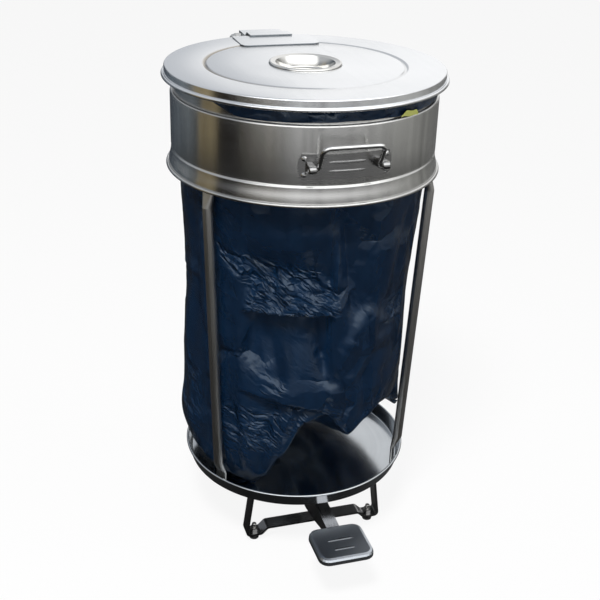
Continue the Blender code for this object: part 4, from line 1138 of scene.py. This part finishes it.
    def crumple(self, bearing: float, level: float) -> float:
        """Find how far creases and crinkles draw the film in.

        Args:
            bearing: Bearing in degrees from the front.
            level: Level in millimetres.

        Returns:
            The distance in millimetres.
        """
        place = around(self.noise_round, bearing, level * self.noise_up)
        broad = noise.noise(place * self.broad_scale)
        near, far = noise.voronoi(place * self.facet_scale + Vector(self.facet_shift))[0][:2]
        facet = min(self.facet_limit, far - near)
        fine = min(self.fine_limit, ridges(place, self.fine_scales))
        patch = noise.noise(place * self.patch_scale + Vector(self.patch_shift))
        patch = smooth(*self.patch_soft, patch)
        soft = smooth(*self.soft_levels, level)
        pull = self.broad_pull * (broad + 0.5)
        pull += self.facet_pull * facet * soft * (0.45 + 0.55 * patch)
        pull += (0.15 + 0.9 * patch) * (self.fine_limit - fine) * soft
        pull = max(0.0, pull) + sum(ledge.push(bearing, level) for ledge in self.ledges)
        folded = sum(fold.push(bearing, level) for fold in self.folds)
        folded += sum(fold.push(bearing + 360.0, level) for fold in self.folds
                      if fold.last[0] > 180.0)
        return (pull + folded * soft) * (1 - smooth(*self.crumple_levels, level))

    def kept_clear(self, radius: float, bearing: float, level: float) -> float:
        """Return a radius held back from the upright tubes."""
        past = min(abs((bearing - tube + 180.0) % 360.0 - 180.0) for tube in self.tubes)
        return min(radius, self.free(level) + self.room_slope * max(0.0, past - self.tube_half))

    def tip(self, bearing: float) -> Vector:
        """Return a corner of the sack's bottom seam."""
        level, radius = self.foot_at(bearing)
        return around(radius, bearing, level)

    def seam(self, bearing: float) -> Vector:
        """Find the point of the bottom seam that the film at a bearing runs to.

        Args:
            bearing: Bearing in degrees from the front.

        Returns:
            The point in millimetres.
        """
        first, last = self.left_tip, self.right_tip
        if first <= bearing <= last:
            share = (bearing - first) / (last - first)
        else:
            past = (bearing - last) % 360.0
            share = 1 - past / (360.0 - (last - first))
        middle = 4 * share * (1 - share)
        line = self.tip(first).lerp(self.tip(last), share)
        return line + Vector((0.0, self.seam_back * middle, self.seam_rise * middle))

    def hem_point(self, bearing: float, share: float) -> Vector:
        """Find a point of the edge that is turned over the neck.

        Args:
            bearing: Bearing in degrees from the front.
            share: 0 at the hem and 1 at the neck's top.

        Returns:
            The point in millimetres.
        """
        out = self.hem_gap + self.hem_bulge * sin(pi * (0.1 + 0.9 * share))
        lift = smooth(*self.lift_left, bearing) + smooth(*self.lift_right, bearing)
        level = mixed(self.hem + self.hem_lift * lift, self.neck_top, share * 0.96)
        spot = around(self.pleat_round, bearing, share * self.pleat_up)
        pleat = 0.45 + ridges(spot, self.pleat_scales)
        wave = self.hem_wave * noise.noise(spot * 0.9) * (1 - share)
        return around(self.neck_out + out * pleat, bearing, level + max(self.hem_low, wave))

    def hem_loops(self, bearings: list[float]) -> list[Loop]:
        """Draw the edge that is turned over the neck.

        Args:
            bearings: Bearings of the points in each loop.

        Returns:
            Loops from the hem to the neck's inside.
        """
        loops = [[self.hem_point(bearing, row / self.hem_rows) for bearing in bearings]
                 for row in range(self.hem_rows + 1)]
        middle = (self.neck_out + self.neck_in) / 2
        half = (self.neck_out - self.neck_in) / 2
        for angle in map(radians, self.neck_angles):
            reach = middle + half * cos(angle)
            level = self.neck_top - self.neck_round + self.neck_round * sin(angle)
            loops.append([around(reach, bearing, level) for bearing in bearings])
        return loops

    def wall_point(self, bearing: float, share: float) -> Vector:
        """Find a point of the hanging wall.

        Args:
            bearing: Bearing in degrees from the front.
            share: 0 inside the neck and 1 at the lower fold.

        Returns:
            The point in millimetres.
        """
        low = self.foot_at(bearing)[0]
        level = mixed(self.neck_top - self.neck_drop, low, share)
        radius = mixed(self.wall(bearing, level), self.neck_in, smooth(*self.drum_inside, level))
        ease = 1 - self.foot_calm * smooth(low + self.foot_ease, low, level)
        radius -= self.crumple(bearing, level) * ease
        if level < self.drum_base:
            radius = self.kept_clear(radius, bearing, level)
        return around(radius, bearing, level)

    def base_point(self, edge: Vector, bearing: float, share: float) -> Vector:
        """Find a point of the film under the sack.

        Args:
            edge: Point of the lower fold.
            bearing: Bearing in degrees from the front.
            share: 0 at the fold and 1 at the bottom seam.

        Returns:
            The point in millimetres.
        """
        point = edge.lerp(self.seam(bearing), share ** 1.15)
        sag = self.sag * sin(pi * share) + self.sag_wave * noise.noise(point * 0.03)
        point.z = max(self.floor, point.z - sag * sin(pi * share))
        return point

    def loops(self) -> list[Loop]:
        """Draw the whole film.

        Returns:
            Loops from its turned-over edge to its bottom seam.
        """
        bearings = [360.0 * i / self.sides - 180.0 for i in range(self.sides)]
        loops = self.hem_loops(bearings)
        for row in range(self.wall_rows + 1):
            loops.append([self.wall_point(b, row / self.wall_rows) for b in bearings])
        last = loops[-1]
        for row in range(1, self.base_rows + 1):
            loops.append([self.base_point(edge, bearing, row / self.base_rows)
                          for edge, bearing in zip(last, bearings)])
        return loops

    def build(self) -> bpy.types.Object:
        """Build and dress the sack.

        Returns:
            The sack.
        """
        shape = skinned(self.loops())
        piece = finished("film_sack", shape, self.finish.material(), "frame", 60.0)
        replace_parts(piece, "sack")
        area = sum(face.area for face in piece.data.polygons)
        log.info("film_sack: %.3f square metres of film", area)
        return piece


@dataclass
class DrawTape:
    """The end of the sack's draw tape, which shows under the lid."""

    first: float = 23.5
    last: float = 33.5
    level: float = 759.5
    climb: float = -3.0
    width: float = 10.3
    radius: float = 209.4
    lean: float = 24.0
    curl: float = 0.5
    ripple: float = 0.8
    ripple_rate: float = 9.0
    curl_rate: float = 8.0
    rows: int = 24
    columns: int = 6
    finish: Tape = Tape()

    def row(self, share: float) -> Loop:
        """Draw one row across the tape.

        Args:
            share: 0 at the tape's left end and 1 at its right end.

        Returns:
            Points from the lower edge to the upper one.
        """
        bearing = mixed(self.first, self.last, share)
        level = self.level + self.climb * share ** 1.4
        level += self.ripple * sin(self.ripple_rate * share)
        tip = 1 - 0.75 * smooth(0.2, 0.0, share) - 0.6 * smooth(0.75, 1.0, share)
        points = []
        for j in range(self.columns + 1):
            up = j / self.columns * self.width * tip
            curl = self.curl * (sin(pi * j / self.columns) + sin(self.curl_rate * share))
            points.append(around(self.radius + up * sin(radians(self.lean)) + curl, bearing,
                                 level + up * cos(radians(self.lean))))
        return points

    def build(self) -> bpy.types.Object:
        """Build and dress the tape.

        Returns:
            The tape.
        """
        shape = skinned([self.row(i / self.rows) for i in range(self.rows + 1)], ring=False)
        piece = finished("draw_tape", shape, self.finish.material(), "frame", 60.0)
        return piece


@dataclass
class Handle:
    """The wire bail on the drum and the two knuckles that it turns in."""

    reach: float = 218.0
    level: float = 699.0
    wire: float = 3.5
    wire_sides: int = 20
    wire_end: float = 0.05
    half: float = 45.0
    length: float = 41.0
    bend: float = 10.0
    bend_steps: int = 8
    run: float = 0.5
    rise: float = 61.0
    knuckle: float = 11.0
    wall: float = 2.8
    plate: float = 211.6
    finish: Steel = Steel("bail_steel", colour=(0.78, 0.78, 0.78), tint=(0.62, 0.62, 0.61),
                          roughness=0.13, spread=0.05, depth=0.01)
    knuckle_finish: Steel = Steel("knuckle_steel", colour=(0.42, 0.42, 0.42),
                                  tint=(0.34, 0.34, 0.34), roughness=0.16, spread=0.05, depth=0.01)

    def path(self) -> list[Point]:
        """Draw the bail's middle line with rounded corners.

        Returns:
            Points, each a distance across and a distance outward.
        """
        end = self.half + self.wire + self.knuckle
        bore = self.wire + self.run
        corners = [((-self.half, 0.0), (1, 0), (0, 1), bore),
                   ((-self.half, self.length), (0, 1), (1, 0), self.bend),
                   ((self.half, self.length), (1, 0), (0, -1), self.bend),
                   ((self.half, 0.0), (0, -1), (1, 0), bore)]
        points = [(-end, 0.0)]
        for (x, y), (ax, ay), (bx, by), radius in corners:
            for i in range(self.bend_steps + 1):
                turn = pi / 2 * i / self.bend_steps
                first, last = radius * (sin(turn) - 1), radius * (1 - cos(turn))
                points.append((x + ax * first + bx * last, y + ay * first + by * last))
        return points + [(end, 0.0)]

    def bail(self) -> bmesh.types.BMesh:
        """Bend the wire as it rests.

        Returns:
            The wire.
        """
        out = Vector((0.0, -cos(radians(self.rise)), sin(radians(self.rise))))
        side = Vector((1.0, 0.0, 0.0))
        normal = side.cross(out)
        base = Vector((0.0, -self.reach, self.level))
        path = self.path()
        end = len(path) - 1
        loops = []
        for i, (x, y) in enumerate(path):
            one, two = path[max(0, i - 1)], path[min(end, i + 1)]
            way = Vector((two[0] - one[0], two[1] - one[1])).normalized()
            across = side * -way.y + out * way.x
            middle = base + side * x + out * y
            radii = {0: (self.wire_end, self.wire), end: (self.wire, self.wire_end)}
            for radius in radii.get(i, (self.wire,)):
                loops.append([middle + (across * cos(a) + normal * sin(a)) * radius
                              for a in turns(self.wire_sides)])
        shape = skinned(loops)
        bmesh.ops.remove_doubles(shape, verts=shape.verts, dist=4 * self.wire_end)
        bmesh.ops.recalc_face_normals(shape, faces=shape.faces)
        return shape

    def eye(self, side: int) -> bmesh.types.BMesh:
        """Form one knuckle, which holds an end of the bail against the plate.

        Args:
            side: -1 for the left knuckle and 1 for the right one.

        Returns:
            The knuckle with its bore.
        """
        bore = self.wire + self.run
        radius = bore + self.wall
        front = [(-cos(radians(a)), sin(radians(a))) for a in range(-90, 91, 10)]
        hole = front + [(cos(radians(a)), sin(radians(a))) for a in range(80, -81, -18)]
        hole.append((0.17, -0.98))
        heel = [(0.35, 1), (0.7, 1), (0.9, 1), (1.0, 1), (1.0, 0.5)]
        heel += [(y, -z) for y, z in heel[::-1]]
        loops = []
        for along, share in ((0.0, 0.0), (0.0, 0.84), (0.05, 0.93), (0.2, 1.0), (0.8, 1.0),
                             (0.95, 0.93), (1.0, 0.84), (1.0, 0.0)):
            across = self.half + bore + self.knuckle * along
            back = self.reach - sqrt(self.plate ** 2 - across ** 2)
            edge = [(radius * y * share, radius * z * share) for y, z in front]
            edge += [(back * y, (radius + self.wall / 2 * y ** 3) * share * z) for y, z in heel]
            if share == 0.0:
                edge = [(bore * y, bore * z) for y, z in hole]
            loops.append([Vector((side * across, y - self.reach, self.level + z))
                          for y, z in edge])
        shape = skinned(loops, wrap=True)
        bmesh.ops.recalc_face_normals(shape, faces=shape.faces)
        return shape

    def build(self) -> list[bpy.types.Object]:
        """Build and dress the bail and its knuckles.

        Returns:
            The three pieces.
        """
        bail = finished("bail_wire", self.bail(), self.finish.material(), "bail")
        pieces = [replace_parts(bail, "handle_bail")]
        material = self.knuckle_finish.material()
        for name, side in (("left", -1), ("right", 1)):
            knuckle = finished("handle_knuckle_" + name, self.eye(side), material, "frame",
                               50.0)
            pieces.append(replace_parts(knuckle, "handle_eye_" + name))
        return pieces


@dataclass
class Ironwork:
    """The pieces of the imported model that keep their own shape."""

    finishes: dict[str, Steel | Zinc | Rubber] = field(default_factory=lambda: {
        "strip": Steel("strip_steel", colour=(0.36, 0.36, 0.37), tint=(0.28, 0.28, 0.28),
                       roughness=0.28, brushing=Brushing.STRIP),
        "tube": Steel("tube_steel", colour=(0.66, 0.65, 0.62), roughness=0.36,
                      brushing=Brushing.ALONG_Z),
        "lever": Steel("lever_steel", colour=(0.46, 0.46, 0.47), tint=(0.36, 0.36, 0.37),
                       roughness=0.28, brushing=Brushing.ALONG_Y),
        # the pad's ridge tops get painted shade, which dims their highlights
        "pad": Steel("pad_steel", colour=(0.62, 0.66, 0.71), tint=(0.42, 0.45, 0.49),
                     roughness=0.34, brushing=Brushing.ALONG_Y,
                     painted_shade_above=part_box("pedal_pad")[1][2] - 1.6 * MM),
        # the plates get painted shadow on the edges that don't face up
        "plate": Steel("plate_steel", colour=(0.95, 0.96, 0.98), tint=(0.86, 0.88, 0.90),
                       roughness=0.22, depth=0.005, brushing=Brushing.ALONG_X, painted_edge_shade=True,
                       painted_shade_colour=(0.22, 0.24, 0.26)),
        "round": Steel("handle_steel", colour=(0.33, 0.33, 0.33), tint=(0.26, 0.26, 0.26),
                       roughness=0.24),
        "bright": Steel("polished_steel", colour=(0.72, 0.72, 0.72), roughness=0.13, spread=0.06),
        "zinc": Zinc(), "rubber": Rubber()})
    groups: dict[str, tuple[str, ...]] = field(default_factory=lambda: {
        "strip": ("front_stand", "rear_stand"),
        "tube": ("upright_left", "upright_right", "upright_rear"),
        "lever": ("pedal_lever", "pedal_bracket", "lift_lug", "hinge_bracket"),
        "pad": ("pedal_pad",),
        "plate": ("lid_plate", "hinge_strap"),
        "round": ("handle_plate",),
        "bright": ("hinge_bolt", "hinge_dome_nut", "lift_rod", "handle_rivet"),
        "zinc": ("foot_bolt", "foot_nut", "rod_pin", "pedal_pin"),
        "rubber": ("rubber_foot",)})

    def build(self) -> None:
        """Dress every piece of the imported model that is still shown."""
        for key, stems in self.groups.items():
            material = self.finishes[key].material()
            for name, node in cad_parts.items():
                if name.startswith(stems):
                    node.data.materials.clear()
                    node.data.materials.append(material)
                    log.info("%s: %s finish", name, key)


@dataclass
class Studio:
    """The floor, the lights, the world and the camera, in metres.

    Greys are stops by bearing: 0.5 is the front, 0.25 the left and 0.75 the right.
    """

    lens: float = 62.94
    sensor: float = 36.0
    shift: Point = (0.0027, -0.0058)
    eye: Place = (-0.4876, -1.5212, 1.1663)
    aim: Place = (0.0, AXIS_Y, 0.3977)
    roll: float = 1.75
    lamp_aim: Place = (0.0, 0.0, 0.4)
    floor_size: float = 14.0
    floor_shade: float = 0.85
    floor_glow: float = 0.9
    mat_reach: Point = (0.05, 7.0)
    mat_level: float = 0.003
    mat_sides: int = 96
    mat_near: Point = (1.7, 1.85)
    ambient: float = 0.28
    front_sky: float = 2.2
    streaks: float = 60.0
    streak_contrast: float = 4.0
    streak_low: float = 0.25
    back_sky: Stops = ((0.18, (0.54, 0.56, 0.59)), (0.29, 1.0))
    # the mat glows with these greys, which show only as painted reflections in the steel and the
    # film
    near_greys: Stops = (
        (0.0, 0.03), (0.2, 0.03), (0.35, 0.015), (0.5, 0.02), (0.6, 0.03), (0.7, 0.06),
        (0.85, 0.08), (1.0, 0.03))
    far_greys: Stops = (
        (0.0, (0.03, 0.035, 0.045)), (0.10, (0.10, 0.12, 0.14)), (0.180, (0.11, 0.125, 0.135)),
        (0.190, (0.20, 0.16, 0.09)), (0.242, (0.23, 0.19, 0.11)), (0.250, (0.012, 0.010, 0.008)),
        (0.30, (0.014, 0.012, 0.009)), (0.325, (0.08, 0.072, 0.055)), (0.385, (0.19, 0.18, 0.16)),
        (0.43, 0.41), (0.55, 0.37), (0.69, (0.40, 0.40, 0.385)), (0.78, (0.24, 0.24, 0.23)),
        (0.9, 0.12), (1.0, (0.03, 0.035, 0.045)))

    def camera(self) -> None:
        """Add the camera at the photograph's viewing angle."""
        data = bpy.data.cameras.new("camera")
        data.sensor_width = self.sensor
        data.lens = self.lens
        data.shift_x, data.shift_y = self.shift
        camera = bpy.data.objects.new("camera", data)
        camera.location = self.eye
        way = Vector(self.aim) - Vector(self.eye)
        camera.rotation_mode = "QUATERNION"
        camera.rotation_quaternion = (way.to_track_quat("-Z", "Y")
                                      @ Quaternion((0, 0, 1), radians(self.roll)))
        bpy.context.scene.collection.objects.link(camera)
        bpy.context.scene.camera = camera

    @staticmethod
    def seen(graph: Graph) -> Value:
        """Tell rays that show the background from rays that light the object.

        Args:
            graph: Graph of the world or of a stage material.

        Returns:
            1 for rays that show the background, and 0 for the others.
        """
        path = graph.node("ShaderNodeLightPath")
        rays = [Value(graph, path.outputs[name]) for name in
                ("Is Camera Ray", "Is Glossy Ray", "Is Transmission Ray")]
        return graph.maths("MINIMUM", rays[0] + rays[1] + rays[2], 1.0)

    @staticmethod
    def turn(graph: Graph, x: Value, y: Value) -> Value:
        """Return the bearing of a point or direction as 0 to 1, from behind by the left."""
        return graph.maths("ARCTAN2", x, y * -1.0) / (2 * pi) + 0.5

    def bands(self, graph: Graph, turn: Value) -> Value:
        """Make the streaked greys that show in the drum as painted reflections.

        Args:
            graph: Graph of the world or of a stage material.
            turn: Bearing as 0 to 1.

        Returns:
            The colour.
        """
        streaks = graph.noise(graph.joined(turn * self.streaks, 0.0, 0.0), 1.0, 3.0, 0.6)
        streaks = graph.maths("MAXIMUM", streaks * self.streak_contrast - 1.0, self.streak_low)
        return graph.vector("MULTIPLY", graph.steps(turn, self.far_greys),
                            graph.joined(streaks, streaks, streaks))

    def world(self) -> None:
        """Make the world white behind the object and a plain soft light on it, with painted
        reflections.
        """
        world = bpy.data.worlds.new("studio")
        world.use_nodes = True
        bpy.context.scene.world = world
        graph = Graph(world.node_tree)
        x, y, z = graph.parts(graph.value("ShaderNodeTexCoord", output="Generated"))
        front = graph.steps(y * -1.0, [(0.2, 0.0), (0.5, 1.0)])
        sky = graph.colours(front, graph.steps(x, self.back_sky), (self.front_sky,) * 3)
        turn = self.turn(graph, x, y)
        behind = graph.steps(turn, [(0.0, 1.0), (0.02, 0.0), (0.86, 0.0), (0.90, 1.0)])
        clear = graph.maths("MAXIMUM", behind, graph.steps(z, [(0.14, 0.0), (0.36, 1.0)]))
        shade = graph.colours(clear, self.bands(graph, turn), sky)
        # glossy rays see painted reflections: streaked bands low down, a bright zone in front and
        # a sky that is darker towards the left
        glossy = graph.value("ShaderNodeLightPath", output="Is Glossy Ray")
        strength = self.ambient + self.seen(graph) * (1.0 - self.ambient)
        light = graph.node("ShaderNodeBackground",
                           inputs={0: graph.colours(glossy, WHITE, shade), 1: strength})
        graph.node("ShaderNodeOutputWorld", inputs={"Surface": light})

    @staticmethod
    def sheet(name: str, corners: list[Place], faces: list[tuple[int, ...]],
              material: bpy.types.Material) -> bpy.types.Object:
        """Add a flat stage object.

        Args:
            name: Name of the object.
            corners: Its corners in metres.
            faces: Numbers of the corners of each face.
            material: Its material.

        Returns:
            The object.
        """
        mesh = bpy.data.meshes.new(name)
        mesh.from_pydata(corners, [], faces)
        mesh.materials.append(material)
        thing = bpy.data.objects.new(name, mesh)
        bpy.context.scene.collection.objects.link(thing)
        return thing

    def floor(self) -> None:
        """Add the pale floor, which shows white and keeps the object's shadow."""
        material, graph = new_graph("pale_floor")
        glow = graph.node("ShaderNodeEmission", inputs={0: (*WHITE, 1.0), 1: 1.0})
        matt = graph.node("ShaderNodeBsdfDiffuse", inputs={0: (self.floor_shade,) * 3 + (1.0,)})
        both = graph.node("ShaderNodeMixShader", inputs={
            0: self.seen(graph) * self.floor_glow, 1: matt, 2: glow})
        graph.node("ShaderNodeOutputMaterial", inputs={"Surface": both})
        half = self.floor_size / 2
        corners = [(-half, -half, 0), (half, -half, 0), (half, half, 0), (-half, half, 0)]
        self.sheet("floor", corners, [(0, 1, 2, 3)], material)

    def mat(self) -> None:
        """Add a glowing grey mat round the object that only shows in the steel and the film, as
        painted reflections.
        """
        material, graph = new_graph("painted_reflection_mat")
        x, y, _ = graph.parts(graph.place())
        turn = self.turn(graph, x, y)
        far = graph.ramp(graph.length(x, y), *self.mat_near)
        grey = graph.colours(far, graph.steps(turn, self.near_greys), self.bands(graph, turn))
        glow = graph.node("ShaderNodeEmission", inputs={0: grey, 1: 1.0})
        graph.node("ShaderNodeOutputMaterial", inputs={"Surface": glow})
        sides = self.mat_sides
        corners = [(sin(a) * reach, -cos(a) * reach + AXIS_Y, self.mat_level)
                   for reach in self.mat_reach for a in turns(sides)]
        faces = [(i, (i + 1) % sides, sides + (i + 1) % sides, sides + i) for i in range(sides)]
        mat = self.sheet("painted_reflection_mat", corners, faces, material)
        mat.visible_camera = False
        mat.visible_diffuse = False
        mat.visible_transmission = False
        mat.visible_shadow = False

    def lamp(self, name: str, place: Place, size: Point, power: float) -> None:
        """Add one soft rectangular lamp.

        Args:
            name: Name of the lamp.
            place: Where it hangs, in metres.
            size: Its width and height in metres.
            power: Its power in watts.
        """
        data = bpy.data.lights.new(name, "AREA")
        data.shape = "RECTANGLE"
        data.size, data.size_y = size
        data.energy = power
        lamp = bpy.data.objects.new(name, data)
        lamp.location = place
        lamp.rotation_mode = "QUATERNION"
        way = Vector(self.lamp_aim) - Vector(place)
        lamp.rotation_quaternion = way.to_track_quat("-Z", "Y")
        lamp.visible_glossy = False
        bpy.context.scene.collection.objects.link(lamp)

    def build(self) -> None:
        """Set up the studio."""
        self.camera()
        self.world()
        self.floor()
        self.mat()
        self.lamp("key_lamp", (-0.8, -1.3, 3.2), (0.8, 0.8), 100.0)
        self.lamp("fill_lamp", (2.2, -1.0, 1.6), (1.0, 1.6), 10.0)
        bpy.context.scene.view_settings.view_transform = "Standard"


def main() -> None:
    """Build every sub-assembly in order."""
    logging.basicConfig(level=logging.INFO, format="%(message)s")
    Studio().build()
    Tray().build()
    Drum().build()
    Lid().build()
    Sack().build()
    DrawTape().build()
    Handle().build()
    Ironwork().build()


if __name__ == "__main__":
    main()
